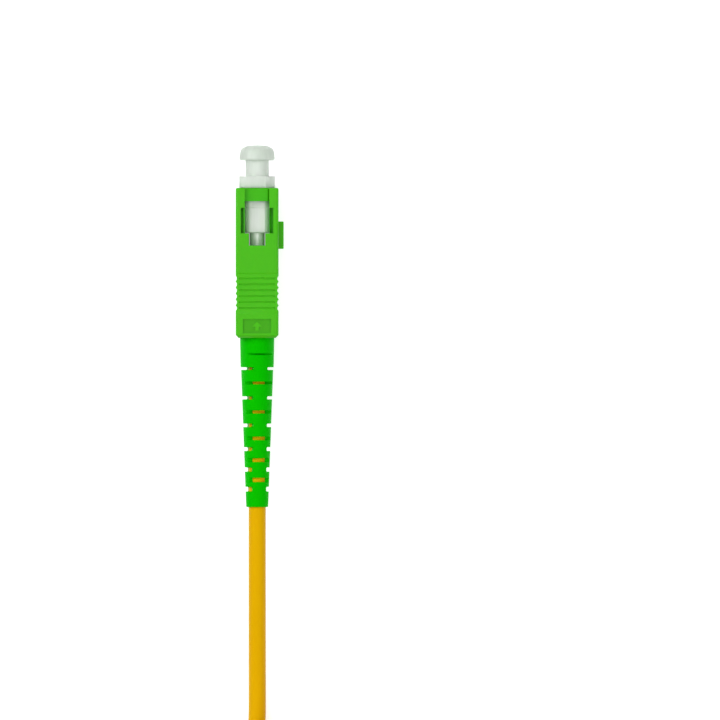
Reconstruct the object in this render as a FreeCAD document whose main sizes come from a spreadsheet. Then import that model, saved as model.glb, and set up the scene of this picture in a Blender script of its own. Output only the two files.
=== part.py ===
import FreeCAD, Part
import math
import os

import Sketcher

# An angled-contact push-pull fibre connector on a 3 mm simplex pigtail, with its dust cap on.
# Millimetres. The connector lies on its narrow face: +Z is up, +Y points to the mating end and
# the key is at +X. The origin is the middle of the housing's lower face.
# Bodies along the connector's axis are drawn from the housing's front face, with -Y inwards.

Vector = FreeCAD.Vector
SIZES = {
    # outer housing
    "grip_width": 7.4, "grip_height": 9.0, "grip_length": 26.0,
    "side_wall": 0.6, "face_wall": 0.8, "slide_gap": 0.05,
    "grip_corner": 0.5, "grip_front_round": 0.25, "grip_rear_bevel": 0.5,
    "channel_width": 4.24, "lip_length": 3.45,
    "window_width": 5.66, "window_end": 7.87, "notch_width": 2.86, "notch_end": 9.99,
    "key_width": 1.6, "key_height": 0.9, "key_start": 5.78, "key_length": 4.76,
    "rib_inset": 10.3, "rib_pitch": 1.03, "rib_groove": 0.32, "rib_depth": 0.2,
    "rib_length": 6.3, "rib_land_inset": 11.3, "rib_land_length": 6.5, "rib_land_depth": 0.12,
    "rib_land_slope": 0.8, "scallop_radius": 0.55, "scallop_depth": 0.2,
    "side_panel_inset": 12.3, "side_panel_depth": 0.08, "side_panel_margin": 0.7,
    "label_width": 4.88, "label_length": 2.45, "label_inset": 3.25, "label_depth": 0.25,
    "mark_height": 0.15,
    "lug_height": 0.25, "lug_start": 11.9, "lug_length": 1.2, "lug_width": 2.0,
    "lug_room": 0.08, "grip_travel": 1.8,
    "ramp_width": 0.38, "ramp_drop": 0.5, "ramp_start": 2.5, "ramp_offset": 2.4,
    # plug frame
    "frame_length": 18.2, "frame_corner": 0.25, "frame_key_bevel": 1.2,
    "bar_length": 2.28, "slot_inner": 2.35, "slot_outer": 2.83, "slot_depth": 1.0,
    "bore_radius": 2.5, "bore_depth": 8.0, "throat_radius": 1.45,
    "chamber_radius": 2.35, "chamber_wall": 0.11,
    # ferrule and what moves with it
    "ferrule_radius": 1.2495, "ferrule_proud": 0.3, "ferrule_length": 13.0,
    "ferrule_tip_radius": 0.7, "ferrule_cone": 0.75, "contact_angle": 8.0,
    "fibre_radius": 0.0625, "seat_gap": 0.05,
    "flange_radius": 2.15, "flange_length": 1.85, "hub_radius": 1.55, "hub_length": 1.4,
    "key_slot_width": 0.8, "key_slot_depth": 0.55,
    "guide_radius": 0.8, "guide_bore": 0.5, "guide_reach": 0.8,
    "buffer_radius": 0.45, "epoxy_length": 0.6, "buffer_reach": 10.4,
    # spring and stop ring
    "wire_radius": 0.22, "spring_radius": 1.9, "spring_turns": 6.0,
    "stop_plug_length": 1.0, "stop_bore": 1.2, "collar_radius": 2.8, "collar_length": 1.2,
    "spigot_radius": 1.75, "spigot_length": 6.6, "knurl_depth": 0.12, "knurl_pitch": 1.2,
    # crimp, yarn and boot
    "yarn_layer": 0.13, "crimp_wall": 0.37, "crimp_overhang": 0.3, "crimp_cone": 0.6,
    "crimp_neck_length": 3.5, "crimp_neck_wall": 0.3, "yarn_inset": 0.6, "yarn_bore": 0.55,
    "boot_gap": 0.1, "boot_radius": 2.97, "boot_room": 0.05, "boot_length": 35.85,
    "boot_plain_length": 7.0, "boot_step": 11.4, "boot_step_radius": 2.88,
    "boot_taper_start": 12.2, "boot_taper_radius": 2.78, "boot_tail_radius": 1.92,
    "boot_bore_radius": 1.55, "boot_lip": 0.15,
    "spine_half_width": 1.2, "slit_root": 1.1, "blind_slit_root": 2.0, "boot_turn": 14.5,
    "blind_slit_height": 0.26, "slit_height": 0.38, "notch_height": 0.46, "slot_growth": 0.035,
    # dust cap
    "cap_gap": 0.05, "cap_collar_end": 2.06, "cap_collar_width": 6.2, "cap_collar_height": 5.46,
    "cap_neck_radius": 2.02, "cap_neck_end": 4.83, "cap_head_radius": 3.1, "cap_top": 7.46,
    "cap_crown_radius": 1.8, "cap_bore_radius": 1.3, "cap_bore_end": 4.4,
    "cap_sleeve_radius": 2.04, "cap_sleeve_end": 7.6, "cap_rim_radius": 2.1,
    # cable
    "cable_radius": 1.5, "cable_bore": 1.0, "jacket_hollow": 11.0, "yarn_gap": 0.03,
    "yarn_stub": 0.8, "buffer_stub": 1.6, "exit_inset": 1.0,
    # put-away hank and its tie
    "hank_bend": 13.6, "hank_straight": 18.0, "hank_offset": 3.0, "hank_distance": 53.2,
    "coil_pitch": 3.05, "coil_lift": 0.4, "side_waist": 0.15,
    "last_run_share": 0.7, "corner_share": 0.45,
    "tie_thickness": 0.35, "tie_width": 6.0, "tie_side_room": 0.4, "tie_gap": 0.05,
}
# middles of the boot's slots, from its front end
SLIT_PLACES = [9.33, 14.31, 19.34, 23.93, 27.70, 31.14]
NOTCH_PLACES = [11.82, 16.90, 21.67, 25.79, 29.34, 32.75]
RIB_COUNT = 6
HANK_CORNERS = 131

doc = FreeCAD.newDocument("fibre_connector")
sheet = doc.addObject("Spreadsheet::Sheet", "sizes")


class Size:
    """A length with the spreadsheet expression it comes from, so sketches stay parametric."""

    def __init__(self, value, text):
        self.value = float(value)
        self.text = text

    @staticmethod
    def of(other):
        if isinstance(other, Size):
            return other
        return Size(other, repr(float(other)))

    def __add__(self, other):
        other = Size.of(other)
        return Size(self.value + other.value, f"({self.text} + {other.text})")

    def __sub__(self, other):
        other = Size.of(other)
        return Size(self.value - other.value, f"({self.text} - {other.text})")

    def __mul__(self, factor):
        return Size(self.value * factor, f"({self.text} * {factor!r})")

    def __truediv__(self, factor):
        return Size(self.value / factor, f"({self.text} / {factor!r})")

    def __neg__(self):
        return Size(-self.value, f"(0 - {self.text})")


def enter(row, name, value):
    """Write one named size into the spreadsheet."""
    sheet.set(f"A{row}", name)
    sheet.set(f"B{row}", repr(float(value)))
    sheet.setAlias(f"B{row}", name)


row = 0
for size_name, size_value in SIZES.items():
    row += 1
    enter(row, size_name, size_value)
for index, place in enumerate(SLIT_PLACES):
    row += 1
    enter(row, f"slit_place_{index + 1}", place)
for index, place in enumerate(NOTCH_PLACES):
    row += 1
    enter(row, f"notch_place_{index + 1}", place)
doc.recompute()


def size(name):
    """The named size, as a number with its expression."""
    return Size(sheet.get(name), f"sizes.{name}")


half_grip_width = size("grip_width") / 2
half_grip_height = size("grip_height") / 2
half_cavity_width = half_grip_width - size("side_wall")
half_cavity_height = half_grip_height - size("face_wall")
half_frame_width = half_cavity_width - size("slide_gap")
half_frame_height = half_cavity_height - size("slide_gap")
cavity_depth = size("frame_length") + size("slide_gap")
rib_first = size("grip_length") - size("rib_inset")
land_start = size("grip_length") - size("rib_land_inset")
land_end = land_start + size("rib_land_length")
panel_start = size("grip_length") - size("side_panel_inset")
panel_height = size("grip_height") - size("side_panel_margin") * 2.0
label_start = size("grip_length") - size("label_inset")
chamber_start = size("notch_end") + size("chamber_wall")
flange_start = chamber_start + size("seat_gap")
flange_end = flange_start + size("flange_length")
hub_end = flange_end + size("hub_length")
ferrule_end = size("ferrule_length") - size("ferrule_proud")
buffer_start = ferrule_end + size("epoxy_length")
stop_front = size("frame_length") - size("stop_plug_length")
collar_end = size("frame_length") + size("collar_length")
spigot_end = collar_end + size("spigot_length")
guide_end = stop_front + size("guide_reach")
buffer_end = spigot_end + size("buffer_reach")
crimp_end = spigot_end + size("crimp_overhang")
crimp_neck_start = crimp_end + size("crimp_cone")
crimp_neck_end = crimp_neck_start + size("crimp_neck_length")
yarn_front = collar_end + size("yarn_inset")
boot_front = collar_end + size("boot_gap")
boot_end = boot_front + size("boot_length")
boot_bore_start = crimp_neck_end + 0.2
grip_bore_radius = size("boot_radius") + 0.15
crimp_bore = size("spigot_radius") + size("yarn_layer")
crimp_radius = crimp_bore + size("crimp_wall")
jacket_start = crimp_neck_start


def plane(body, role):
    return [f for f in body.Origin.OriginFeatures if f.Role == role][0]


def new_body(name, turn=0.0):
    """A body whose own Y axis is the connector's axis, with zero at the housing's front face."""
    body = doc.addObject("PartDesign::Body", name)
    body.Label = name
    rotation = FreeCAD.Rotation(Vector(0, 1, 0), turn)
    body.Placement = FreeCAD.Placement(
        Vector(0, size("grip_length").value / 2, half_grip_height.value), rotation)
    body.setExpression("Placement.Base.y", "sizes.grip_length / 2")
    body.setExpression("Placement.Base.z", "sizes.grip_height / 2")
    return body


def new_sketch(body, role, name, offset=0.0):
    """A sketch on one of the body's own planes, moved along the plane's normal by offset."""
    offset = Size.of(offset)
    sketch = body.newObject("Sketcher::SketchObject", name)
    sketch.AttachmentSupport = [(plane(body, role), "")]
    sketch.MapMode = "FlatFace"
    sketch.AttachmentOffset = FreeCAD.Placement(Vector(0, 0, offset.value), FreeCAD.Rotation())
    sketch.setExpression("AttachmentOffset.Base.z", offset.text)
    return sketch


def tie_length(sketch, constraint, length):
    """Add a constraint and drive its value by the size's expression."""
    number = sketch.addConstraint(constraint)
    sketch.setExpression(f"Constraints[{number}]", length.text)


def pin_point(sketch, line, end, x, y):
    """Fix one point of a sketch line from the sketch's origin."""
    for kind, value in (("DistanceX", x), ("DistanceY", y)):
        if value.text == "0.0":
            axis = -2 if kind == "DistanceX" else -1
            sketch.addConstraint(Sketcher.Constraint("PointOnObject", line, end, axis))
        else:
            tie_length(sketch, Sketcher.Constraint(kind, -1, 1, line, end, value.value), value)


def outline(sketch, points):
    """A closed polygon through the given points, each fixed by two sizes."""
    points = [(Size.of(x), Size.of(y)) for x, y in points]
    first = sketch.GeometryCount
    count = len(points)
    for i in range(count):
        a = points[i]
        b = points[(i + 1) % count]
        start = Vector(a[0].value, a[1].value, 0)
        end = Vector(b[0].value, b[1].value, 0)
        sketch.addGeometry(Part.LineSegment(start, end), False)
    for i in range(count):
        sketch.addConstraint(
            Sketcher.Constraint("Coincident", first + i, 2, first + (i + 1) % count, 1))
    for i in range(count):
        pin_point(sketch, first + i, 1, *points[i])


def rectangle(sketch, x0, y0, x1, y1):
    outline(sketch, [(x0, y0), (x1, y0), (x1, y1), (x0, y1)])


def disc(sketch, radius, x=0.0, y=0.0):
    """A circle of a named radius about a fixed point."""
    radius, x, y = Size.of(radius), Size.of(x), Size.of(y)
    circle = sketch.addGeometry(
        Part.Circle(Vector(x.value, y.value, 0), Vector(0, 0, 1), radius.value), False)
    tie_length(sketch, Sketcher.Constraint("Radius", circle, radius.value), radius)
    pin_point(sketch, circle, 3, x, y)


def pad(body, sketch, length, name, towards_rear=True):
    """Extrude a sketch; on the cross-section plane the default direction is to the rear."""
    feature = body.newObject("PartDesign::Pad", name)
    feature.Profile = sketch
    length = Size.of(length)
    feature.Length = length.value
    feature.setExpression("Length", length.text)
    feature.Reversed = not towards_rear
    body.Tip = feature
    doc.recompute()
    return feature


def pocket(body, sketch, length, name, reverse=False):
    """Cut a sketch to a depth; with length None it cuts through both ways."""
    feature = body.newObject("PartDesign::Pocket", name)
    feature.Profile = sketch
    if length is None:
        feature.Type = "ThroughAll"
        feature.SideType = "Symmetric"
    else:
        length = Size.of(length)
        feature.Length = length.value
        feature.setExpression("Length", length.text)
        feature.Reversed = reverse
    body.Tip = feature
    doc.recompute()
    return feature


def both_ways(feature):
    feature.SideType = "Symmetric"
    doc.recompute()
    return feature


def mirror(body, feature, role, name):
    copy = body.newObject("PartDesign::Mirrored", name)
    copy.Originals = [feature]
    copy.MirrorPlane = (plane(body, role), [""])
    body.Tip = copy
    doc.recompute()
    return copy


def repeat(body, feature, count, pitch, name):
    """Copies of a feature along the axis, towards the rear."""
    copy = body.newObject("PartDesign::LinearPattern", name)
    copy.Originals = [feature]
    copy.Direction = (plane(body, "Y_Axis"), [""])
    copy.Reversed = True
    length = pitch * (count - 1)
    copy.Length = length.value
    copy.setExpression("Length", length.text)
    copy.Occurrences = count
    body.Tip = copy
    doc.recompute()
    return copy


def turned(name, profile, turn=0.0):
    """A body turned about the connector's axis from (radius, distance behind the front) points."""
    body = new_body(name, turn)
    sketch = new_sketch(body, "XY_Plane", f"{name}_profile")
    outline(sketch, [(radius, -Size.of(behind)) for radius, behind in profile])
    feature = body.newObject("PartDesign::Revolution", f"{name}_turned")
    feature.Profile = sketch
    feature.ReferenceAxis = (sketch, ["V_Axis"])
    feature.Angle = 360
    body.Tip = feature
    doc.recompute()
    return body


def soften(body, kind, value, name, wanted):
    """Fillet or chamfer every edge of the tip for which wanted(edge) is true."""
    base = body.Tip
    names = []
    for number, edge in enumerate(base.Shape.Edges, 1):
        if wanted(edge):
            names.append(f"Edge{number}")
    feature = body.newObject(f"PartDesign::{kind}", name)
    feature.Base = (base, names)
    field = "Radius" if kind == "Fillet" else "Size"
    setattr(feature, field, value.value)
    feature.setExpression(field, value.text)
    body.Tip = feature
    doc.recompute()
    return feature


def lies_along(edge, axis, low=None, high=None):
    """True for a straight edge that runs along one axis and whose middle is within the box."""
    if edge.Curve.TypeId != "Part::GeomLine":
        return False
    direction = edge.Curve.Direction
    if abs(getattr(direction, axis)) < 0.999:
        return False
    middle = edge.CenterOfMass
    if low and any(getattr(middle, a) < v for a, v in low.items()):
        return False
    if high and any(getattr(middle, a) > v for a, v in high.items()):
        return False
    return True


# ---------------------------------------------------------------- outer housing
grip = new_body("outer_housing")
sketch = new_sketch(grip, "XZ_Plane", "grip_section")
rectangle(sketch, -half_grip_width, -half_grip_height, half_grip_width, half_grip_height)
pad(grip, sketch, size("grip_length"), "grip_block")
soften(grip, "Fillet", size("grip_corner"), "grip_long_corners", lambda e: lies_along(e, "y"))
grip_length = size("grip_length").value
soften(grip, "Chamfer", size("grip_rear_bevel"), "grip_rear_bevels",
       lambda e: e.CenterOfMass.y < -grip_length + 0.01)
soften(grip, "Fillet", size("grip_front_round"), "grip_front_edges",
       lambda e: e.CenterOfMass.y > -0.01)

sketch = new_sketch(grip, "XZ_Plane", "key_section", size("key_start"))
rectangle(sketch, half_grip_width - 0.3, -size("key_width") / 2,
          half_grip_width + size("key_height"), size("key_width") / 2)
pad(grip, sketch, size("key_length"), "key")
key_reach = half_grip_width + size("key_height")
soften(grip, "Fillet", Size(0.12, "0.12"), "key_edges",
       lambda e: e.CenterOfMass.x > key_reach.value - 0.01)

sketch = new_sketch(grip, "XZ_Plane", "cavity_section")
rectangle(sketch, -half_cavity_width, -half_cavity_height, half_cavity_width, half_cavity_height)
pocket(grip, sketch, cavity_depth, "cavity", reverse=True)
sketch = new_sketch(grip, "XZ_Plane", "rear_bore_section")
disc(sketch, grip_bore_radius)
pocket(grip, sketch, None, "rear_bore")

# the hook channel, the wider window behind it and the narrow notch, in both narrow faces
half_channel = size("channel_width") / 2
half_window = size("window_width") / 2
half_notch = size("notch_width") / 2
sketch = new_sketch(grip, "XY_Plane", "hook_channel")
outline(sketch, [
    (-half_channel, 1.0), (half_channel, 1.0),
    (half_channel, -size("lip_length")), (half_window, -size("lip_length")),
    (half_window, -size("window_end")), (half_notch, -size("window_end")),
    (half_notch, -size("notch_end")), (-half_notch, -size("notch_end")),
    (-half_notch, -size("window_end")), (-half_window, -size("window_end")),
    (-half_window, -size("lip_length")), (-half_channel, -size("lip_length")),
])
pocket(grip, sketch, None, "hook_channels")

# release ramps under the lips: they lift the mating hooks when the housing is pulled back
sketch = new_sketch(grip, "YZ_Plane", "ramp_side", size("ramp_offset"))
ramp_foot = half_cavity_height - size("ramp_drop")
outline(sketch, [
    (-size("ramp_start"), half_cavity_height + 0.2), (-size("ramp_start"), ramp_foot),
    (-size("ramp_start") - 0.2, ramp_foot), (-size("lip_length"), half_cavity_height - 0.05),
    (-size("lip_length"), half_cavity_height + 0.2),
])
ramp = pad(grip, sketch, size("ramp_width"), "ramp")
ramps = mirror(grip, ramp, "YZ_Plane", "ramp_pair")
sketch = new_sketch(grip, "YZ_Plane", "lower_ramp_side", size("ramp_offset"))
outline(sketch, [
    (-size("ramp_start"), -half_cavity_height - 0.2), (-size("ramp_start"), -ramp_foot),
    (-size("ramp_start") - 0.2, -ramp_foot), (-size("lip_length"), -half_cavity_height + 0.05),
    (-size("lip_length"), -half_cavity_height - 0.2),
])
ramp = pad(grip, sketch, size("ramp_width"), "lower_ramp")
mirror(grip, ramp, "YZ_Plane", "lower_ramp_pair")

# pockets that hold the plug frame's lugs and set the travel
lug_reach = half_frame_width + size("lug_height")
sketch = new_sketch(grip, "YZ_Plane", "lug_pocket_side", half_cavity_width - 0.3)
rectangle(sketch, -size("lug_start") + size("grip_travel") + size("slide_gap"),
          -size("lug_width") / 2 - size("lug_room"),
          -size("lug_start") - size("lug_length") - size("lug_room"),
          size("lug_width") / 2 + size("lug_room"))
room = pocket(grip, sketch, lug_reach + size("lug_room") - half_cavity_width + 0.3,
              "lug_pocket", reverse=True)
mirror(grip, room, "YZ_Plane", "lug_pocket_pair")

# ribbed thumb lands on the narrow faces
land_low = half_grip_height - size("rib_land_depth")
land_rear = -land_end - size("rib_land_slope")
for side, label in ((1, "upper"), (-1, "lower")):
    sketch = new_sketch(grip, "YZ_Plane", f"{label}_land_side")
    outline(sketch, [
        (-land_start, half_grip_height * side),
        (-land_start - 0.2, land_low * side),
        (-land_end, land_low * side),
        (land_rear, half_grip_height * side),
        (land_rear, (half_grip_height + 0.5) * side),
        (-land_start, (half_grip_height + 0.5) * side),
    ])
    both_ways(pocket(grip, sketch, size("grip_width") + 2.0, f"{label}_land"))
    sketch = new_sketch(grip, "YZ_Plane", f"{label}_groove_side")
    half_groove = size("rib_groove") / 2
    groove_floor = land_low - size("rib_depth")
    outline(sketch, [
        (-rib_first + half_groove, (land_low + 0.02) * side),
        (-rib_first + half_groove * 0.4, groove_floor * side),
        (-rib_first - half_groove * 0.4, groove_floor * side),
        (-rib_first - half_groove, (land_low + 0.02) * side),
    ])
    groove = both_ways(pocket(grip, sketch, size("rib_length"), f"{label}_groove"))
    repeat(grip, groove, RIB_COUNT, size("rib_pitch"), f"{label}_grooves")

# shallow panels and scalloped ribs on the wide faces
sketch = new_sketch(grip, "XY_Plane", "side_panel_plan")
rectangle(sketch, half_grip_width - size("side_panel_depth"), -panel_start,
          half_grip_width + 1.0, land_rear)
panel = both_ways(pocket(grip, sketch, panel_height, "side_panel"))
mirror(grip, panel, "YZ_Plane", "side_panel_pair")
sketch = new_sketch(grip, "XY_Plane", "scallop_plan")
scallop_centre = half_grip_width - size("scallop_depth") + size("scallop_radius")
disc(sketch, size("scallop_radius"), scallop_centre, -rib_first)
scallop = both_ways(pocket(grip, sketch, size("grip_height") + 2.0, "scallop"))
scallops = repeat(grip, scallop, RIB_COUNT, size("rib_pitch"), "scallops")
sketch = new_sketch(grip, "XY_Plane", "far_scallop_plan")
disc(sketch, size("scallop_radius"), -scallop_centre, -rib_first)
scallop = both_ways(pocket(grip, sketch, size("grip_height") + 2.0, "far_scallop"))
repeat(grip, scallop, RIB_COUNT, size("rib_pitch"), "far_scallops")

# recess for a type mark on each narrow face, with a plain arrow to the mating end in it
half_label = size("label_width") / 2
label_end = label_start + size("label_length")
label_floor = half_grip_height - size("label_depth")
for side, label in ((1, "upper"), (-1, "lower")):
    sketch = new_sketch(grip, "XY_Plane", f"{label}_label_plan", label_floor * side)
    rectangle(sketch, -half_label, -label_start, half_label, -label_end)
    pocket(grip, sketch, size("label_depth") + 1.0, f"{label}_label", reverse=side > 0)
    sketch = new_sketch(grip, "XY_Plane", f"{label}_mark_plan", (label_floor - 0.05) * side)
    mark_top = -label_start - 0.45
    outline(sketch, [
        (0.0, mark_top), (0.9, mark_top - 0.85), (0.3, mark_top - 0.85), (0.3, mark_top - 1.55),
        (-0.3, mark_top - 1.55), (-0.3, mark_top - 0.85), (-0.9, mark_top - 0.85),
    ])
    pad(grip, sketch, size("mark_height") + 0.05, f"{label}_mark", towards_rear=side > 0)

# ---------------------------------------------------------------- plug frame
frame = new_body("plug_frame")
sketch = new_sketch(frame, "XZ_Plane", "frame_section")
bevel = size("frame_key_bevel")
outline(sketch, [
    (-half_frame_width, -half_frame_height), (half_frame_width - bevel, -half_frame_height),
    (half_frame_width, -half_frame_height + bevel), (half_frame_width, half_frame_height - bevel),
    (half_frame_width - bevel, half_frame_height), (-half_frame_width, half_frame_height),
])
pad(frame, sketch, size("frame_length"), "frame_block")
soften(frame, "Fillet", size("frame_corner"), "frame_corners", lambda e: lies_along(e, "y"))
soften(frame, "Chamfer", Size(0.2, "0.2"), "frame_nose",
       lambda e: e.CenterOfMass.y > -0.01 and abs(e.CenterOfMass.z) > 2.0)
for depth, radius, label in ((size("bore_depth"), size("bore_radius"), "front_bore"),
                             (None, size("throat_radius"), "throat")):
    sketch = new_sketch(frame, "XZ_Plane", f"{label}_section")
    disc(sketch, radius)
    pocket(frame, sketch, depth, label, reverse=True)
sketch = new_sketch(frame, "XZ_Plane", "chamber_section", size("frame_length"))
disc(sketch, size("chamber_radius"))
pocket(frame, sketch, size("frame_length") - chamber_start, "chamber")

sketch = new_sketch(frame, "XY_Plane", "frame_window")
outline(sketch, [
    (-half_channel, -size("bar_length")), (half_channel, -size("bar_length")),
    (half_channel, -size("window_end")), (half_notch, -size("window_end")),
    (half_notch, -size("notch_end")), (-half_notch, -size("notch_end")),
    (-half_notch, -size("window_end")), (-half_channel, -size("window_end")),
])
pocket(frame, sketch, None, "frame_windows")
for side, label in ((1, "upper"), (-1, "lower")):
    floor = (half_frame_height - size("slot_depth")) * side
    sketch = new_sketch(frame, "XY_Plane", f"{label}_ramp_slot_plan", floor)
    for hand in (1, -1):
        rectangle(sketch, size("slot_inner") * hand, -size("bar_length"),
                  size("slot_outer") * hand, -size("window_end"))
    pocket(frame, sketch, size("slot_depth") + 1.0, f"{label}_ramp_slots", reverse=side > 0)

# lugs with sloped backs that snap into the housing's pockets
sketch = new_sketch(frame, "XY_Plane", "lug_plan")
lug_end = -size("lug_start") - size("lug_length")
outline(sketch, [
    (half_frame_width - 0.2, -size("lug_start")), (lug_reach, -size("lug_start")),
    (lug_reach, lug_end + 0.5), (half_frame_width, lug_end), (half_frame_width - 0.2, lug_end),
])
lug = both_ways(pad(frame, sketch, size("lug_width"), "lug"))
mirror(frame, lug, "YZ_Plane", "lug_pair")

# ---------------------------------------------------------------- dust cap
collar_front = -size("cap_collar_end")
cap = turned("dust_cap", [
    (size("cap_bore_radius"), size("cap_sleeve_end")),
    (size("cap_sleeve_radius") - 0.15, size("cap_sleeve_end")),
    (size("cap_sleeve_radius"), size("cap_sleeve_end") - 0.3),
    (size("cap_sleeve_radius"), 3.35), (size("cap_rim_radius"), 3.3),
    (size("cap_rim_radius"), -size("cap_gap")),
    (size("cap_head_radius"), -size("cap_gap")),
    (size("cap_head_radius"), collar_front),
    (size("cap_neck_radius"), collar_front),
    (size("cap_neck_radius"), -size("cap_neck_end")),
    (size("cap_head_radius") - 0.15, -size("cap_neck_end")),
    (size("cap_head_radius"), -size("cap_neck_end") - 0.25),
    (size("cap_head_radius") - 0.06, -size("cap_neck_end") - 0.9),
    (size("cap_head_radius") - 0.18, -size("cap_top") + 1.1),
    (size("cap_head_radius") - 0.34, -size("cap_top") + 0.7),
    (size("cap_head_radius") - 0.64, -size("cap_top") + 0.42),
    (size("cap_crown_radius"), -size("cap_top") + 0.12),
    (0.0, -size("cap_top")),
    (0.0, -size("cap_bore_end")),
    (size("cap_bore_radius") - 0.3, -size("cap_bore_end")),
    (size("cap_bore_radius"), -size("cap_bore_end") + 0.3),
])
half_collar = size("cap_collar_height") / 2
sketch = new_sketch(cap, "XZ_Plane", "collar_trim_section", collar_front)
for hand in (1, -1):
    rectangle(sketch, -4.0, half_collar * hand, 4.0, 5.0 * hand)
collar_length = size("cap_collar_end") - size("cap_gap")
pocket(cap, sketch, collar_length, "collar_trim", reverse=True)
sketch = new_sketch(cap, "XZ_Plane", "collar_flat_section", collar_front)
for hand in (1, -1):
    rectangle(sketch, -size("cap_collar_width") / 2, half_collar * hand,
              -size("cap_neck_radius") + 0.5, 1.6 * hand)
pad(cap, sketch, collar_length, "collar_flats")

# ---------------------------------------------------------------- ferrule assembly
proud = -size("ferrule_proud")
ferrule = turned("ferrule", [
    (size("fibre_radius"), proud), (size("ferrule_tip_radius"), proud),
    (size("ferrule_radius"), proud + size("ferrule_cone")),
    (size("ferrule_radius"), ferrule_end - 0.2), (size("ferrule_radius") - 0.2, ferrule_end),
    (size("fibre_radius") + 0.3, ferrule_end), (size("fibre_radius"), ferrule_end - 0.5),
])
slope = math.tan(math.radians(size("contact_angle").value))


def angle_cut(body, name):
    """The angled contact face: a plane across the tip that leans towards the key."""
    section = new_sketch(body, "XY_Plane", f"{name}_plan")
    reach = Size.of(3.0)
    rise = Size(reach.value * slope, "(3 * tan(sizes.contact_angle * 1 deg))")
    outline(section, [
        (-reach, size("ferrule_proud") + rise - 0.1), (reach, size("ferrule_proud") - rise - 0.1),
        (reach, 2.0), (-reach, 2.0),
    ])
    both_ways(pocket(body, section, 6.0, name))


angle_cut(ferrule, "angled_end")
flange = turned("ferrule_flange", [
    (size("ferrule_radius"), flange_start), (size("flange_radius") - 0.2, flange_start),
    (size("flange_radius"), flange_start + 0.2), (size("flange_radius"), flange_end),
    (size("hub_radius"), flange_end), (size("hub_radius"), hub_end),
    (size("guide_radius"), hub_end), (size("guide_radius"), ferrule_end),
    (size("ferrule_radius"), ferrule_end),
])
sketch = new_sketch(flange, "XZ_Plane", "key_slot_section", flange_start)
half_slot = size("key_slot_width") / 2
slot_floor = size("flange_radius") - size("key_slot_depth")
for hand in (1, -1):
    rectangle(sketch, -half_slot, slot_floor * hand, half_slot, 3.0 * hand)
    rectangle(sketch, slot_floor * hand, -half_slot, 3.0 * hand, half_slot)
pocket(flange, sketch, size("flange_length"), "key_slots", reverse=True)
turned("guide_tube", [
    (size("guide_bore"), ferrule_end), (size("guide_radius"), ferrule_end),
    (size("guide_radius"), guide_end), (size("guide_bore"), guide_end),
])
turned("epoxy_fill", [
    (size("fibre_radius"), ferrule_end), (size("guide_bore"), ferrule_end),
    (size("guide_bore"), buffer_start), (size("fibre_radius"), buffer_start),
])
turned("tight_buffer", [
    (size("fibre_radius"), buffer_start), (size("buffer_radius"), buffer_start),
    (size("buffer_radius"), buffer_end), (size("fibre_radius"), buffer_end),
])
fibre = turned("optical_fibre", [
    (0.0, proud), (size("fibre_radius"), proud),
    (size("fibre_radius"), buffer_end), (0.0, buffer_end),
])
angle_cut(fibre, "angled_fibre_end")

# ---------------------------------------------------------------- spring
spring_front = flange_end + size("wire_radius") + 0.03
spring_rear = stop_front - size("wire_radius") - 0.03
spring_height = spring_rear - spring_front
helix = doc.addObject("Part::Helix", "spring_line")
helix.setExpression("Radius", size("spring_radius").text)
helix.setExpression("Pitch", f"({spring_height.text}) / {size('spring_turns').text}")
helix.setExpression("Height", spring_height.text)
circle = doc.addObject("Part::Circle", "spring_wire")
circle.setExpression("Radius", size("wire_radius").text)
circle.Placement = FreeCAD.Placement(
    Vector(size("spring_radius").value, 0, 0), FreeCAD.Rotation(Vector(1, 0, 0), 90))
doc.recompute()
spring = doc.addObject("Part::Sweep", "spring")
spring.Label = "spring"
spring.Sections = [circle]
spring.Spine = (helix, [])
spring.Solid = True
spring.Frenet = True
spring.Placement = FreeCAD.Placement(
    Vector(0, size("grip_length").value / 2 - spring_front.value, half_grip_height.value),
    FreeCAD.Rotation(Vector(1, 0, 0), 90))
doc.recompute()

# ---------------------------------------------------------------- stop ring, crimp and yarn
knurls = []
knurl_low = size("spigot_radius") - size("knurl_depth")
for number in range(4):
    place = collar_end + size("knurl_pitch") * (number + 1.0)
    knurls += [(size("spigot_radius"), place), (knurl_low, place + 0.2),
               (knurl_low, place + 0.5), (size("spigot_radius"), place + 0.7)]
turned("stop_ring", [
    (size("stop_bore"), stop_front),
    (size("chamber_radius"), stop_front), (size("chamber_radius"), size("frame_length")),
    (size("collar_radius"), size("frame_length")), (size("collar_radius"), collar_end),
    (size("spigot_radius"), collar_end),
] + knurls + [
    (size("spigot_radius"), spigot_end), (size("stop_bore"), spigot_end),
])
turned("crimp_ring", [
    (crimp_bore, collar_end), (crimp_radius, collar_end),
    (crimp_radius, crimp_end),
    (size("cable_radius") + size("crimp_neck_wall"), crimp_neck_start),
    (size("cable_radius") + size("crimp_neck_wall"), crimp_neck_end),
    (size("cable_radius"), crimp_neck_end), (size("cable_radius"), jacket_start),
    (crimp_bore, crimp_end),
])
yarn_reach = size("cable_bore") - size("yarn_gap")
yarn_end = jacket_start + size("jacket_hollow") - 0.1
turned("aramid_yarn", [
    (size("yarn_bore"), yarn_end), (yarn_reach, yarn_end), (yarn_reach, jacket_start - 0.05),
    (size("cable_radius") - 0.05, jacket_start - 0.15), (crimp_bore - 0.02, crimp_end),
    (crimp_bore, crimp_end - 0.1), (crimp_bore, yarn_front),
    (size("spigot_radius"), yarn_front), (size("spigot_radius"), spigot_end),
    (size("yarn_bore"), spigot_end + 0.45),
])

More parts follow.
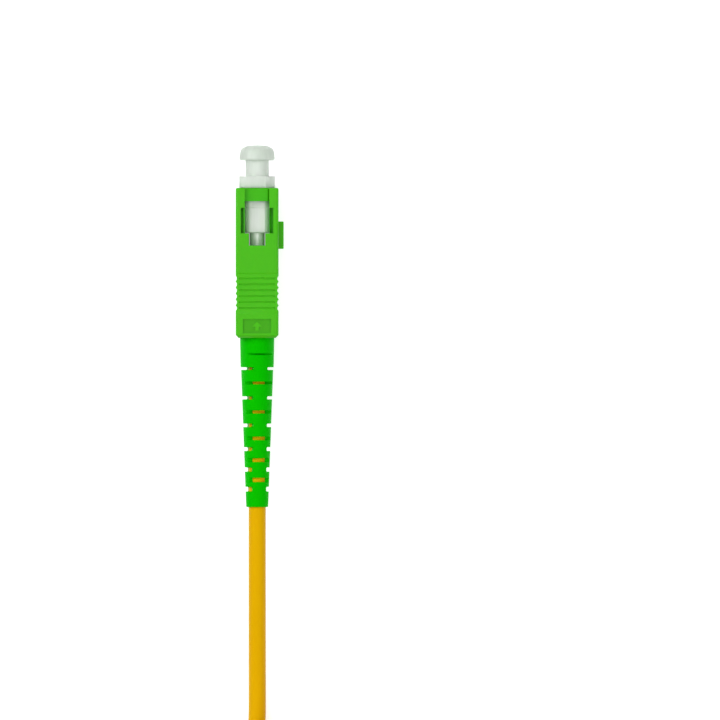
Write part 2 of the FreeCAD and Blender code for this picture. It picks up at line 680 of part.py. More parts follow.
# ---------------------------------------------------------------- jacket inside the boot
jacket_end = boot_end - size("exit_inset")
hollow_end = jacket_start + size("jacket_hollow")
turned("jacket_front", [
    (size("cable_bore"), jacket_start), (size("cable_radius"), jacket_start),
    (size("cable_radius"), jacket_end), (0.0, jacket_end), (0.0, hollow_end),
    (size("cable_bore"), hollow_end),
])

# ---------------------------------------------------------------- boot
boot_bore_front = crimp_radius + size("boot_room")
neck_bore = size("cable_radius") + size("crimp_neck_wall") + size("boot_room")
boot = turned("boot", [
    (boot_bore_front, boot_front), (size("boot_radius") - 0.1, boot_front),
    (size("boot_radius"), boot_front + 0.1), (size("boot_radius"), boot_front + size("boot_plain_length")),
    (size("boot_step_radius"), boot_front + size("boot_step")),
    (size("boot_taper_radius"), boot_front + size("boot_taper_start")),
    (size("boot_tail_radius"), boot_end - size("boot_lip")),
    (size("boot_tail_radius") - size("boot_lip"), boot_end),
    (size("boot_bore_radius"), boot_end),
    (size("boot_bore_radius"), boot_bore_start + 0.3),
    (neck_bore, boot_bore_start), (neck_bore, crimp_neck_start + 0.1),
    (boot_bore_front, crimp_end + 0.1),
], size("boot_turn").value)
for role, places, name in (("YZ_Plane", SLIT_PLACES, "slit"), ("XY_Plane", NOTCH_PLACES, "notch")):
    along_y = role == "YZ_Plane"
    sketch = new_sketch(boot, role, f"boot_{name}_plan")
    for index in range(len(places)):
        height = size(f"{name}_height") + size("slot_growth") * (2.0 * index)
        if along_y and index == 0:
            height = size("blind_slit_height")
        middle = -(boot_front + size(f"{name}_place_{index + 1}"))
        front, rear = middle - height / 2, middle + height / 2
        if along_y:
            # in this plane the first axis runs along the boot, so the cut reaches up the second;
            # the first slit stays in the thick wall, the others open into the bore
            root = size("slit_root" if index else "blind_slit_root")
            rectangle(sketch, front, root, rear, Size.of(4.0))
        else:
            rectangle(sketch, size("spine_half_width"), front, Size.of(4.0), rear)
    cut = pocket(boot, sketch, None, f"boot_{name}s")
    mirror(boot, cut, "XY_Plane" if along_y else "YZ_Plane", f"boot_{name}_pairs")

# ---------------------------------------------------------------- cable
front_y = size("grip_length").value / 2
axis_z = half_grip_height.value
cable_radius = size("cable_radius").value
coil_pitch = size("coil_pitch").value
floor_z = cable_radius
coil_z = cable_radius + size("coil_lift").value
exit_y = front_y - boot_end.value
exit_inset = size("exit_inset").value
hank_bend = size("hank_bend").value
hank_top = exit_y - size("hank_distance").value
hank_foot = hank_top - size("hank_straight").value
hank_x = hank_bend - size("hank_offset").value
half_step = math.radians(15)


def hank_corner(number):
    """One corner of the hank's line. A turn has 16: two on the left side, six round the foot,
    two on the right side and six round the top. Every three turns fill two layers of two
    tracks, one beside the other: the line steps in or out on the sides and climbs on the bends."""
    turn, spot = divmod(number, 16)
    cycle, turn = divmod(turn, 3)
    inset, layer = {0: (0.0, 0.0), 1: (1.0, 0.0), 2: (1.0, 1.0)}[turn]
    if turn == 0:
        inset = min(1.0, max(0.0, (spot - 7) / 3))
    elif turn == 1:
        layer = min(1.0, max(0.0, (spot - 2) / 5))
    else:
        inset = max(0.0, 1.0 - (spot + 1) / 3)
        layer += max(0.0, (spot - 10) / 6)
    track = hank_bend - coil_pitch * inset
    height = coil_z + coil_pitch * (2 * cycle + layer)
    reach = track / math.cos(half_step)
    side_end = track * math.tan(half_step)
    run = (size("hank_straight").value + 2 * side_end) / 3
    waist = track - size("side_waist").value
    if spot < 2:
        return Vector(hank_x - waist, hank_top + side_end - run * (spot + 1), height)
    if spot < 8:
        angle = math.pi + half_step * (2 * (spot - 2) + 1)
        return Vector(hank_x + reach * math.cos(angle), hank_foot + reach * math.sin(angle), height)
    if spot < 10:
        return Vector(hank_x + waist, hank_foot - side_end + run * (spot - 7), height)
    angle = half_step * (2 * (spot - 10) + 1)
    return Vector(hank_x + reach * math.cos(angle), hank_top + reach * math.sin(angle), height)


def route():
    """Corner points of the free cable's line, from inside the boot's mouth to the cut end."""
    points = [
        Vector(0, exit_y + exit_inset, axis_z),
        Vector(0, exit_y - 14.0, axis_z),
        Vector(0, exit_y - 29.5, floor_z),
        Vector(0, exit_y - 40.2, floor_z + 0.1),
        Vector(-size("hank_offset").value - 0.1, exit_y - 49.9, floor_z + 0.2),
    ]
    points += [hank_corner(number) for number in range(HANK_CORNERS)]
    tail = points.pop()
    points.append(points[-1] + (tail - points[-1]) * size("last_run_share").value)
    return points


def rounded_line(points):
    """Straight runs joined by arcs that touch both runs at each corner."""
    edges = []
    last = points[0]
    smallest = 1e9
    for before, corner, after in zip(points, points[1:], points[2:]):
        inward = (corner - before).normalize()
        outward = (after - corner).normalize()
        turn = inward.getAngle(outward)
        shorter = min((corner - before).Length, (after - corner).Length)
        setback = size("corner_share").value * shorter
        radius = setback / math.tan(turn / 2)
        smallest = min(smallest, radius)
        start = corner - inward * setback
        end = corner + outward * setback
        middle_way = (outward - inward).normalize()
        depth = radius / math.cos(turn / 2) - radius
        middle = corner + middle_way * depth
        edges.append(Part.LineSegment(last, start).toShape())
        edges.append(Part.Arc(start, middle, end).toShape())
        last = end
    edges.append(Part.LineSegment(last, points[-1]).toShape())
    return Part.Wire(edges), smallest


def swept(name, points):
    """A round cable along the points."""
    wire, smallest = rounded_line(points)
    heading = (points[1] - points[0]).normalize()
    section = Part.Face(Part.Wire([Part.Circle(points[0], heading, cable_radius).toShape()]))
    tube = doc.addObject("Part::Feature", name)
    tube.Label = name
    tube.Shape = wire.makePipe(section)
    print(f"{name}: length {wire.Length:.1f} mm, smallest bend radius {smallest:.1f} mm, "
          f"volume {tube.Shape.Volume:.1f} mm3, section x length "
          f"{math.pi * cable_radius ** 2 * wire.Length:.1f} mm3")


corner_points = route()
LEAD_CORNERS = 5
meeting = (corner_points[LEAD_CORNERS - 1] + corner_points[LEAD_CORNERS]) * 0.5
lead_points = corner_points[:LEAD_CORNERS] + [meeting]
coil_points = [meeting] + corner_points[LEAD_CORNERS:]
swept("cable", lead_points)
swept("cable_coil", coil_points)
cut_end = coil_points[-1]
cut_heading = (coil_points[-1] - coil_points[-2]).normalize()


def end_piece(name, outer, inner, length):
    """A rod or ring of the cable's inside that stands out of the cut end."""
    place = FreeCAD.Placement(cut_end, FreeCAD.Rotation(Vector(0, 0, 1), cut_heading))
    rod = doc.addObject("Part::Cylinder", name if inner is None else f"{name}_outer")
    rod.setExpression("Radius", outer.text)
    rod.setExpression("Height", length.text)
    rod.Placement = place
    if inner is None:
        rod.Label = name
        return
    bore = doc.addObject("Part::Cylinder", f"{name}_inner")
    bore.setExpression("Radius", inner.text)
    bore.setExpression("Height", length.text)
    bore.Placement = place
    ring = doc.addObject("Part::Cut", name)
    ring.Label = name
    ring.Base = rod
    ring.Tool = bore


end_piece("end_yarn", yarn_reach, size("buffer_radius"), size("yarn_stub"))
end_piece("end_buffer", size("buffer_radius"), None, size("buffer_stub"))

# ---------------------------------------------------------------- tie round the hank's side
tie = doc.addObject("PartDesign::Body", "coil_tie")
tie.Label = "coil_tie"
tie.Placement = FreeCAD.Placement(
    Vector(hank_x, (hank_top + hank_foot) / 2, 0), FreeCAD.Rotation())
inner_low = size("hank_bend") - size("coil_pitch") - size("cable_radius") - size("tie_side_room")
inner_high = size("hank_bend") + size("cable_radius") + size("tie_gap")
base_z = size("tie_thickness")
top_z = size("coil_lift") + size("coil_pitch") * 4.0 + size("cable_radius") * 2.0 \
    + size("coil_pitch") + size("tie_gap")
wall = size("tie_thickness")


def bevelled(sketch, x0, z0, x1, z1, corner):
    outline(sketch, [
        (x0 + corner, z0), (x1 - corner, z0), (x1, z0 + corner), (x1, z1 - corner),
        (x1 - corner, z1), (x0 + corner, z1), (x0, z1 - corner), (x0, z0 + corner),
    ])


sketch = new_sketch(tie, "XZ_Plane", "tie_section")
bevelled(sketch, inner_low - wall, Size.of(0.0), inner_high + wall, top_z + wall, Size.of(0.8))
bevelled(sketch, inner_low, base_z, inner_high, top_z, Size.of(0.65))
both_ways(pad(tie, sketch, size("tie_width"), "tie_band"))
sketch = new_sketch(tie, "XZ_Plane", "tie_tab_section")
rectangle(sketch, inner_low + 1.6, top_z + wall, inner_high - 1.2, top_z + wall * 2.0)
both_ways(pad(tie, sketch, size("tie_width"), "tie_tab"))

doc.recompute()

PIECES = [
    "outer_housing", "plug_frame", "dust_cap", "ferrule", "ferrule_flange", "guide_tube",
    "epoxy_fill", "tight_buffer", "optical_fibre", "spring", "stop_ring", "crimp_ring",
    "aramid_yarn", "jacket_front", "boot", "cable", "cable_coil", "end_yarn", "end_buffer", "coil_tie",
]
for item in doc.Objects:
    if "Invalid" in item.State or "Error" in item.State:
        raise RuntimeError(f"{item.Name} did not compute: {item.State}")
os.makedirs("parts", exist_ok=True)
for piece in PIECES:
    found = [item for item in doc.Objects if item.Label == piece]
    shape = found[0].Shape
    if shape.isNull() or not shape.isValid() or len(shape.Solids) != 1:
        raise RuntimeError(f"{piece}: null {shape.isNull()}, solids {len(shape.Solids)}")
    shape.exportStep(f"parts/{piece}.step")
    box = shape.BoundBox
    print(f"{piece:15s} x {box.XMin:8.3f} {box.XMax:8.3f}  y {box.YMin:8.3f} {box.YMax:8.3f}  "
          f"z {box.ZMin:7.3f} {box.ZMax:7.3f}  volume {shape.Volume:9.3f}")
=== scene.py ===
"""Visual model of a push-pull fibre plug: green housing, clear dust cap, slotted boot, yellow cable."""

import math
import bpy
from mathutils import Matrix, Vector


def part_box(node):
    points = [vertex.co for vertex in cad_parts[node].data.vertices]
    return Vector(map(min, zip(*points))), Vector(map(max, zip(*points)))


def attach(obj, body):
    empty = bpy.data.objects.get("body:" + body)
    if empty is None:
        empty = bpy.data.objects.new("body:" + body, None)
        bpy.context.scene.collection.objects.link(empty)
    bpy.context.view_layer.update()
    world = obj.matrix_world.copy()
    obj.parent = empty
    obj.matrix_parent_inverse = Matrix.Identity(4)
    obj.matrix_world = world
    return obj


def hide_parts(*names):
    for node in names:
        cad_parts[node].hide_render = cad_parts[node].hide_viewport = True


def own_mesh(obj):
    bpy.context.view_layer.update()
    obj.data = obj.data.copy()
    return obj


bl_info = {
    "name": "Fibre Plug",
    "version": (1, 0, 0),
    "blender": (4, 5, 0),
    "location": "View3D > Sidebar > Fibre Plug",
    "description": "Builds the surfaces and finishes of a push-pull fibre plug on its packed solids",
    "category": "Add Mesh",
}

import bmesh
import bpy
import numpy as np
from mathutils import Vector

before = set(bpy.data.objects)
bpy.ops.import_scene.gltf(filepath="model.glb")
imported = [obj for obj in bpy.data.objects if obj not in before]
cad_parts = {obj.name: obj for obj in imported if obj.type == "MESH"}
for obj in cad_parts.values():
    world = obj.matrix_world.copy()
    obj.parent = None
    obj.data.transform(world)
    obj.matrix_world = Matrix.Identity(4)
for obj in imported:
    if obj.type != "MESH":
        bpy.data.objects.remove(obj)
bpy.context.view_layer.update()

MM = 0.001
MERGE = 2e-7
FULL_TURN = 2 * math.pi


def low(node):
    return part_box(node)[0]


def high(node):
    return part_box(node)[1]


FRONT = high("outer_housing").y
AXIS_HEIGHT = (low("outer_housing").z + high("outer_housing").z) / 2
BOOT_END = low("boot").y


def behind(y):
    """Distance of a place behind the housing's mating face, in millimetres."""
    return (FRONT - y) / MM


def linear(code):
    """An sRGB hex value as linear red, green, blue and alpha."""
    parts = [int(code[i:i + 2], 16) / 255 for i in (0, 2, 4)]
    return tuple(c / 12.92 if c <= 0.04045 else ((c + 0.055) / 1.055) ** 2.4 for c in parts) + (1.0,)


# ------------------------------------------------------------------ settings
def colour(name, code, text):
    return bpy.props.FloatVectorProperty(
        name=name, description=text, subtype="COLOR", size=4, min=0.0, max=1.0, default=linear(code))


def length(name, value, text):
    return bpy.props.FloatProperty(
        name=name, description=text, subtype="DISTANCE", unit="LENGTH", min=0.0, precision=5,
        default=value)


class PlugColours(bpy.types.PropertyGroup):
    """Colours of the plug's mouldings and cable."""

    housing: colour("Housing", "4BBE0C", "Green of the outer grip housing")
    plug_body: colour("Plug body", "42BA08", "Green of the inner plug frame")
    boot: colour("Boot", "00C100", "Green of the strain relief boot")
    cap: colour("Dust cap", "E5EFE4", "Natural polyethylene of the dust cap")
    jacket: colour("Jacket", "E6B000", "Yellow of the cable jacket")
    tie: colour("Tie", "1A1B1D", "Black of the hook and loop tie")


class PlugSizes(bpy.types.PropertyGroup):
    """Sizes that only change how the surfaces are finished."""

    moulded_edge: length("Moulded edge", 0.05 * MM, "Rounding of the mouldings' edges")
    slot_lip: length("Slot lip", 0.07 * MM, "Rounding of the lips of the boot's slots")
    camera_height: length("Camera height", 3.0, "Height of the camera over the plug")
    view_width: length("View width", 124.8 * MM, "Width that the camera shows at the axis")


# ------------------------------------------------------------------ surfaces
def show(name, mesh, body, material, nodes=(), smooth=40.0):
    """Put a finished mesh into the scene on its body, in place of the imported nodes."""
    mesh.shade_smooth()
    mesh.set_sharp_from_angle(angle=math.radians(smooth))
    thing = bpy.data.objects.new(name, mesh)
    bpy.context.scene.collection.objects.link(thing)
    mesh.materials.append(material)
    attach(thing, body)
    if nodes:
        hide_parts(*nodes)
    return thing


def merged(name, points, faces):
    """A mesh of points and quads with its doubled points merged and its normals outwards."""
    mesh = bpy.data.meshes.new(name)
    mesh.from_pydata(points.tolist(), [], faces.tolist())
    work = bmesh.new()
    work.from_mesh(mesh)
    bmesh.ops.remove_doubles(work, verts=work.verts, dist=MERGE)
    bmesh.ops.dissolve_degenerate(work, edges=work.edges, dist=MERGE)
    bmesh.ops.recalc_face_normals(work, faces=work.faces)
    work.to_mesh(mesh)
    work.free()
    return mesh


def quads(rows, columns, wrap_rows, wrap_columns):
    """Corner numbers of the quads between neighbouring rows and columns of a grid."""
    row = np.arange(rows if wrap_rows else rows - 1)[:, None]
    column = np.arange(columns if wrap_columns else columns - 1)[None, :]
    next_row, next_column = (row + 1) % rows, (column + 1) % columns
    corners = (row * columns + column, next_row * columns + column,
               next_row * columns + next_column, row * columns + next_column)
    return np.stack([np.broadcast_to(c, (row.size, column.size)) for c in corners], axis=-1)


def sheet_mesh(name, grid, wrap_rows=True, wrap_columns=True):
    """A closed surface through a grid of points (rows, columns, 3)."""
    rows, columns = grid.shape[:2]
    faces = quads(rows, columns, wrap_rows, wrap_columns).reshape(-1, 4)
    return merged(name, grid.reshape(-1, 3), faces)


def rounded(points, radius, steps=4):
    """A line of points whose inner corners give way to quadratic curves: (1-t)^2 start +
    2t(1-t) corner + t^2 end, from radius before the corner to radius behind it."""
    line = np.asarray(points, float)
    to_last, to_next = line[:-2] - line[1:-1], line[2:] - line[1:-1]
    far_last = np.linalg.norm(to_last, axis=1)
    far_next = np.linalg.norm(to_next, axis=1)
    reach = np.minimum(np.broadcast_to(radius, far_last.shape), 0.45 * np.minimum(far_last, far_next))
    start = line[1:-1] + to_last * (reach / far_last)[:, None]
    end = line[1:-1] + to_next * (reach / far_next)[:, None]
    t = np.linspace(0.0, 1.0, steps + 1)[None, :, None]
    curve = (1 - t) ** 2 * start[:, None] + 2 * t * (1 - t) * line[1:-1, None] + t ** 2 * end[:, None]
    return np.vstack([line[:1], curve.reshape(-1, line.shape[1]), line[-1:]])


def around(radius, station, angle):
    """Points at radius and angle about the plug's axis: x = r cos a, z = r sin a, y behind the face."""
    x = radius * np.cos(angle) * MM
    z = radius * np.sin(angle) * MM + AXIS_HEIGHT
    y = FRONT - station * MM
    return np.stack(np.broadcast_arrays(x, y, z), axis=-1)


def turned(name, profile, edge=0.05, columns=96):
    """Surface of revolution of a closed profile of (radius, distance behind) points in
    millimetres, its corners rounded by edge; a profile that starts and ends on the axis closes there."""
    on_axis = profile[0][0] == 0.0 and profile[-1][0] == 0.0
    line = list(profile) if on_axis else list(profile) + [profile[0]]
    line = rounded(line, edge)
    angle = np.linspace(0.0, FULL_TURN, columns, endpoint=False)
    grid = around(line[:, :1], line[:, 1:], angle[None, :])
    return sheet_mesh(name, grid, wrap_rows=False)


def turned_part(name, profile, body, material, node, edge=0.05):
    """A part turned from its profile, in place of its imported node."""
    return show(name, turned(name, profile, edge), body, material, [node])


def rod(name, centres, radius, sides, up):
    """A round rod along centres: each point adds radius times (cos a side + sin a top), where
    side and top are square to the line's own direction; the ends are closed."""
    heading = np.gradient(centres, axis=0)
    heading /= np.linalg.norm(heading, axis=1)[:, None]
    side = np.cross(heading, up)
    side /= np.linalg.norm(side, axis=1)[:, None]
    top = np.cross(side, heading)
    angle = np.linspace(0.0, FULL_TURN, sides, endpoint=False)
    reach = np.broadcast_to(radius, (len(centres),))
    rim = np.cos(angle)[None, :, None] * side[:, None] + np.sin(angle)[None, :, None] * top[:, None]
    grid = centres[:, None] + reach[:, None, None] * rim
    ends = [np.repeat(grid[i].mean(axis=0)[None, None], sides, axis=1) for i in (0, -1)]
    return sheet_mesh(name, np.concatenate([ends[0], grid, ends[1]]), wrap_rows=False)


def refined(node):
    """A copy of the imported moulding's faces, its loose triangles merged into whole flat faces."""
    work = bmesh.new()
    work.from_mesh(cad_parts[node].data)
    bmesh.ops.remove_doubles(work, verts=work.verts, dist=MERGE)
    bmesh.ops.dissolve_limit(work, angle_limit=math.radians(0.5), verts=work.verts, edges=work.edges)
    mesh = bpy.data.meshes.new(f"{node}_moulding")
    work.to_mesh(mesh)
    work.free()
    return mesh


# ------------------------------------------------------------------ finishes
def put(tree, kind, sockets=None, **settings):
    """Add one shader node with its settings, socket values and links."""
    item = tree.nodes.new(kind)
    for field, value in settings.items():
        setattr(item, field, value)
    for socket, value in (sockets or {}).items():
        if isinstance(value, bpy.types.NodeSocket):
            tree.links.new(value, item.inputs[socket])
        else:
            item.inputs[socket].default_value = value
    return item


def grain(size_mm):
    """Texture scale for marks of a real size, on coordinates in metres."""
    return 1.0 / (size_mm * MM)


def blank(name, sockets):
    """A material with one Principled shader, and the object's own coordinates."""
    material = bpy.data.materials.new(name)
    material.use_nodes = True
    tree = material.node_tree
    tree.nodes.clear()
    shader = put(tree, "ShaderNodeBsdfPrincipled", sockets)
    put(tree, "ShaderNodeOutputMaterial", {"Surface": shader.outputs["BSDF"]})
    place = put(tree, "ShaderNodeTexCoord").outputs["Object"]
    return material, tree, shader, place


def shade(tint, share):
    """A colour made darker or paler by a share, as linear red, green, blue and alpha."""
    return tuple(min(1.0, c * share) for c in tint[:3]) + (1.0,)


def moulded_plastic(name, tint, sockets, cloud_mm, cloud_share, texture_mm, relief_mm, rough_spread):
    """A moulded plastic: cloudy pigment, the mould's fine texture and uneven gloss."""
    material, tree, shader, place = blank(name, sockets)
    cloud = put(tree, "ShaderNodeTexNoise", {
        "Vector": place, "Scale": grain(cloud_mm), "Detail": 3.0, "Roughness": 0.55})
    mix = put(tree, "ShaderNodeMix", {
        "Factor": cloud.outputs["Fac"], "A": shade(tint, 1.0 - cloud_share),
        "B": shade(tint, 1.0 + cloud_share)}, data_type="RGBA")
    tree.links.new(mix.outputs["Result"], shader.inputs["Base Color"])
    low_rough = sockets["Roughness"] - rough_spread
    gloss = put(tree, "ShaderNodeMapRange", {
        "Value": cloud.outputs["Fac"], "From Min": 0.3, "From Max": 0.7,
        "To Min": low_rough, "To Max": low_rough + 2 * rough_spread})
    tree.links.new(gloss.outputs["Result"], shader.inputs["Roughness"])
    skin = put(tree, "ShaderNodeTexNoise", {
        "Vector": place, "Scale": grain(texture_mm), "Detail": 2.0, "Roughness": 0.6})
    bump = put(tree, "ShaderNodeBump", {
        "Height": skin.outputs["Fac"], "Strength": 0.5, "Distance": relief_mm * MM})
    tree.links.new(bump.outputs["Normal"], shader.inputs["Normal"])
    return material


def pbt(name, tint):
    # Injection-moulded PBT: satin, with a faint spark-eroded texture and soft pigment clouds.
    # The real texture is some 0.02 mm across; it is drawn at 0.09 mm so that it shows.
    return moulded_plastic(name, tint, {
        "Roughness": 0.42, "IOR": 1.55, "Specular IOR Level": 0.12, "Subsurface Weight": 0.3,
        "Subsurface Radius": (0.4, 1.0, 0.1), "Subsurface Scale": 1.0 * MM,
    }, cloud_mm=2.6, cloud_share=0.035, texture_mm=0.09, relief_mm=0.006, rough_spread=0.05)


def pbt_with_recess_shade(name, tint):
    # The same PBT with painted shade: the floor of the mark's recess is drawn at 0.8 of the green, a
    # darker tone that stands in for the shade in the recess.
    material = pbt(name, tint)
    tree = material.node_tree
    shader = next(item for item in tree.nodes if item.type == "BSDF_PRINCIPLED")
    face = shader.inputs["Base Color"].links[0].from_socket
    recess_shade_mask = put(tree, "ShaderNodeAttribute", attribute_name="recess")
    painted_recess_shade = put(tree, "ShaderNodeMix", {
        "Factor": recess_shade_mask.outputs["Fac"], "A": face, "B": shade(tint, 0.8)}, data_type="RGBA")
    tree.links.new(painted_recess_shade.outputs["Result"], shader.inputs["Base Color"])
    return material


def boot_elastomer(name, tint):
    # Moulded TPE: saturated, a little waxy, softer gloss than the housing, light passes thin lips.
    return moulded_plastic(name, tint, {
        "Roughness": 0.5, "IOR": 1.5, "Specular IOR Level": 0.07,
        "Specular Tint": (0.5, 1.0, 0.04, 1.0), "Subsurface Weight": 0.12,
        "Subsurface Radius": (0.3, 1.0, 0.2), "Subsurface Scale": 0.8 * MM,
    }, cloud_mm=3.2, cloud_share=0.03, texture_mm=0.13, relief_mm=0.008, rough_spread=0.06)


def polyethylene(name, tint):
    # Natural low-density polyethylene: milky, lets light through, waxy gloss with flow lines
    # along the draw direction.
    material, tree, shader, place = blank(name, {
        "Roughness": 0.36, "IOR": 1.51, "Subsurface Weight": 0.8,
        "Subsurface Radius": (1.0, 1.0, 1.0), "Subsurface Scale": 0.9 * MM,
    })
    stretch = put(tree, "ShaderNodeMapping", {
        "Vector": place, "Scale": (grain(0.7), grain(6.0), grain(0.7))})
    flow = put(tree, "ShaderNodeTexNoise", {
        "Vector": stretch.outputs["Vector"], "Scale": 1.0, "Detail": 3.0, "Roughness": 0.6})
    # painted light, partly the thin walls' own paler look: the head keeps the cap's tint, the neck and
    # collar are drawn
    # 1.15 times paler and the sleeve inside the housing near white, standing in for light that the shaded
    # neck and the sleeve in the housing's window lack
    along = put(tree, "ShaderNodeSeparateXYZ", {"Vector": place})
    solid = put(tree, "ShaderNodeMapRange", {
        "Value": along.outputs["Y"], "From Min": FRONT + 4.2 * MM, "From Max": FRONT + 5.0 * MM})
    outside = put(tree, "ShaderNodeMapRange", {
        "Value": along.outputs["Y"], "From Min": FRONT - 0.6 * MM, "From Max": FRONT + 0.4 * MM})
    tube = put(tree, "ShaderNodeMix", {
        "Factor": outside.outputs["Result"], "A": linear("FDFFFA"), "B": shade(tint, 1.15)},
        data_type="RGBA")
    wall = put(tree, "ShaderNodeMix", {
        "Factor": solid.outputs["Result"], "A": tube.outputs["Result"], "B": tint}, data_type="RGBA")
    clear = put(tree, "ShaderNodeMapRange", {
        "Value": outside.outputs["Result"], "To Min": 0.1, "To Max": 0.3})
    tree.links.new(clear.outputs["Result"], shader.inputs["Transmission Weight"])
    streak = put(tree, "ShaderNodeMapRange", {
        "Value": flow.outputs["Fac"], "From Min": 0.3, "From Max": 0.7, "To Min": 0.9, "To Max": 1.0})
    mix = put(tree, "ShaderNodeMix", {
        "Factor": 1.0, "A": wall.outputs["Result"], "B": streak.outputs["Result"]},
        data_type="RGBA", blend_type="MULTIPLY")
    tree.links.new(mix.outputs["Result"], shader.inputs["Base Color"])
    bump = put(tree, "ShaderNodeBump", {
        "Height": flow.outputs["Fac"], "Strength": 0.3, "Distance": 0.02 * MM})
    tree.links.new(bump.outputs["Normal"], shader.inputs["Normal"])
    return material


def clouded(name, dark, pale, sockets, size_mm, detail=3.0, roughness=0.5):
    """A plain material whose colour drifts between two close values over a real size."""
    material, tree, shader, place = blank(name, sockets)
    drift = put(tree, "ShaderNodeTexNoise", {
        "Vector": place, "Scale": grain(size_mm), "Detail": detail, "Roughness": roughness})
    mix = put(tree, "ShaderNodeMix", {
        "Factor": drift.outputs["Fac"], "A": linear(dark), "B": linear(pale)}, data_type="RGBA")
    tree.links.new(mix.outputs["Result"], shader.inputs["Base Color"])
    return material


def streaked(name, dark, pale, sockets, streak_mm, detail, strength, relief_mm):
    """A material with streaks of a real size across and along, in its colour and its relief."""
    material, tree, shader, place = blank(name, sockets)
    stretch = put(tree, "ShaderNodeMapping", {
        "Vector": place, "Scale": tuple(grain(size_mm) for size_mm in streak_mm)})
    streaks = put(tree, "ShaderNodeTexNoise", {
        "Vector": stretch.outputs["Vector"], "Scale": 1.0, "Detail": detail})
    mix = put(tree, "ShaderNodeMix", {
        "Factor": streaks.outputs["Fac"], "A": linear(dark), "B": linear(pale)}, data_type="RGBA")
    tree.links.new(mix.outputs["Result"], shader.inputs["Base Color"])
    bump = put(tree, "ShaderNodeBump", {
        "Height": streaks.outputs["Fac"], "Strength": strength, "Distance": relief_mm * MM})
    tree.links.new(bump.outputs["Normal"], shader.inputs["Normal"])
    return material


def zirconia(name):
    # Ground zirconia ceramic: dense white with a soft gloss and a trace of grinding lay.
    return clouded(name, "F4F3F0", "FBFAF8", {
        "Roughness": 0.4, "IOR": 2.1, "Specular IOR Level": 0.5, "Subsurface Weight": 0.15,
        "Subsurface Radius": (1.0, 1.0, 0.9), "Subsurface Scale": 0.8 * MM,
    }, size_mm=0.3, detail=4.0, roughness=0.7)


def nickel_plate(name, lay_mm):
    # Turned brass with bright nickel plate: fine tool lines round the axis.
    return streaked(name, "B9B3A6", "D2CEC4", {"Metallic": 1.0, "Roughness": 0.24},
                    (4.0, lay_mm, 4.0), detail=3.0, strength=0.4, relief_mm=0.004)


def spring_wire(name):
    # Drawn stainless spring wire: bright grey with fine die marks.
    return clouded(name, "8F9193", "B4B6B8", {"Metallic": 1.0, "Roughness": 0.3},
                   size_mm=0.08)


def aramid(name):
    # Aramid yarn: straw-gold filaments that run along the cable, with a silky sheen.
    return streaked(name, "B98E2C", "F0D070", {
        "Roughness": 0.5, "Sheen Weight": 0.3, "Sheen Roughness": 0.4,
    }, (0.08, 3.0, 0.08), detail=2.0, strength=0.6, relief_mm=0.03)


def pvc_jacket(name, tint):
    # Extruded PVC jacket: smooth and satin, with faint dye clouds and a shallow extruded ripple.
    return moulded_plastic(name, tint, {
        "Roughness": 0.44, "IOR": 1.53, "Specular IOR Level": 0.15,
        "Specular Tint": (1.0, 0.8, 0.1, 1.0), "Subsurface Weight": 0.08,
        "Subsurface Radius": (1.0, 0.6, 0.1), "Subsurface Scale": 0.5 * MM,
    }, cloud_mm=5.0, cloud_share=0.025, texture_mm=0.35, relief_mm=0.01, rough_spread=0.05)


def hook_and_loop(name, tint):
    # Woven nylon hook-and-loop strap: matt, with a fuzz of loops some 0.4 mm apart.
    material, tree, shader, place = blank(name, {
        "Roughness": 0.85, "Sheen Weight": 0.35, "Sheen Roughness": 0.6})
    loops = put(tree, "ShaderNodeTexVoronoi", {"Vector": place, "Scale": grain(0.4)})
    # painted light and shade: the loops' tops, high in the bump, are drawn 2.6 times paler than the black
    # and the hollows between them 0.6 times as bright
    mix = put(tree, "ShaderNodeMix", {
        "Factor": loops.outputs["Distance"], "A": shade(tint, 2.6), "B": shade(tint, 0.6)},
        data_type="RGBA")
    tree.links.new(mix.outputs["Result"], shader.inputs["Base Color"])
    bump = put(tree, "ShaderNodeBump", {
        "Height": loops.outputs["Distance"], "Strength": 0.9, "Distance": 0.12 * MM}, invert=True)
    tree.links.new(bump.outputs["Normal"], shader.inputs["Normal"])
    return material


# ------------------------------------------------------------------ cable
CABLE_RADIUS = 1.5 * MM
# the put-away cable is a narrow wound ring: two bends joined by straight sides, in six layers
TURN_CORNERS = 16
HANK_CORNERS = 131
HANK_BEND = 13.6 * MM
HANK_STRAIGHT = 18.0 * MM
HANK_OFFSET = 3.0 * MM
HANK_DISTANCE = 53.2 * MM
COIL_PITCH = 3.05 * MM
COIL_LIFT = 0.4 * MM
SIDE_WAIST = 0.15 * MM
LAST_RUN_SHARE = 0.7
YARN_STRANDS = 44
HANK_TOP = BOOT_END - HANK_DISTANCE
HANK_FOOT = HANK_TOP - HANK_STRAIGHT
HANK_X = HANK_BEND - HANK_OFFSET
HALF_STEP = math.radians(15)


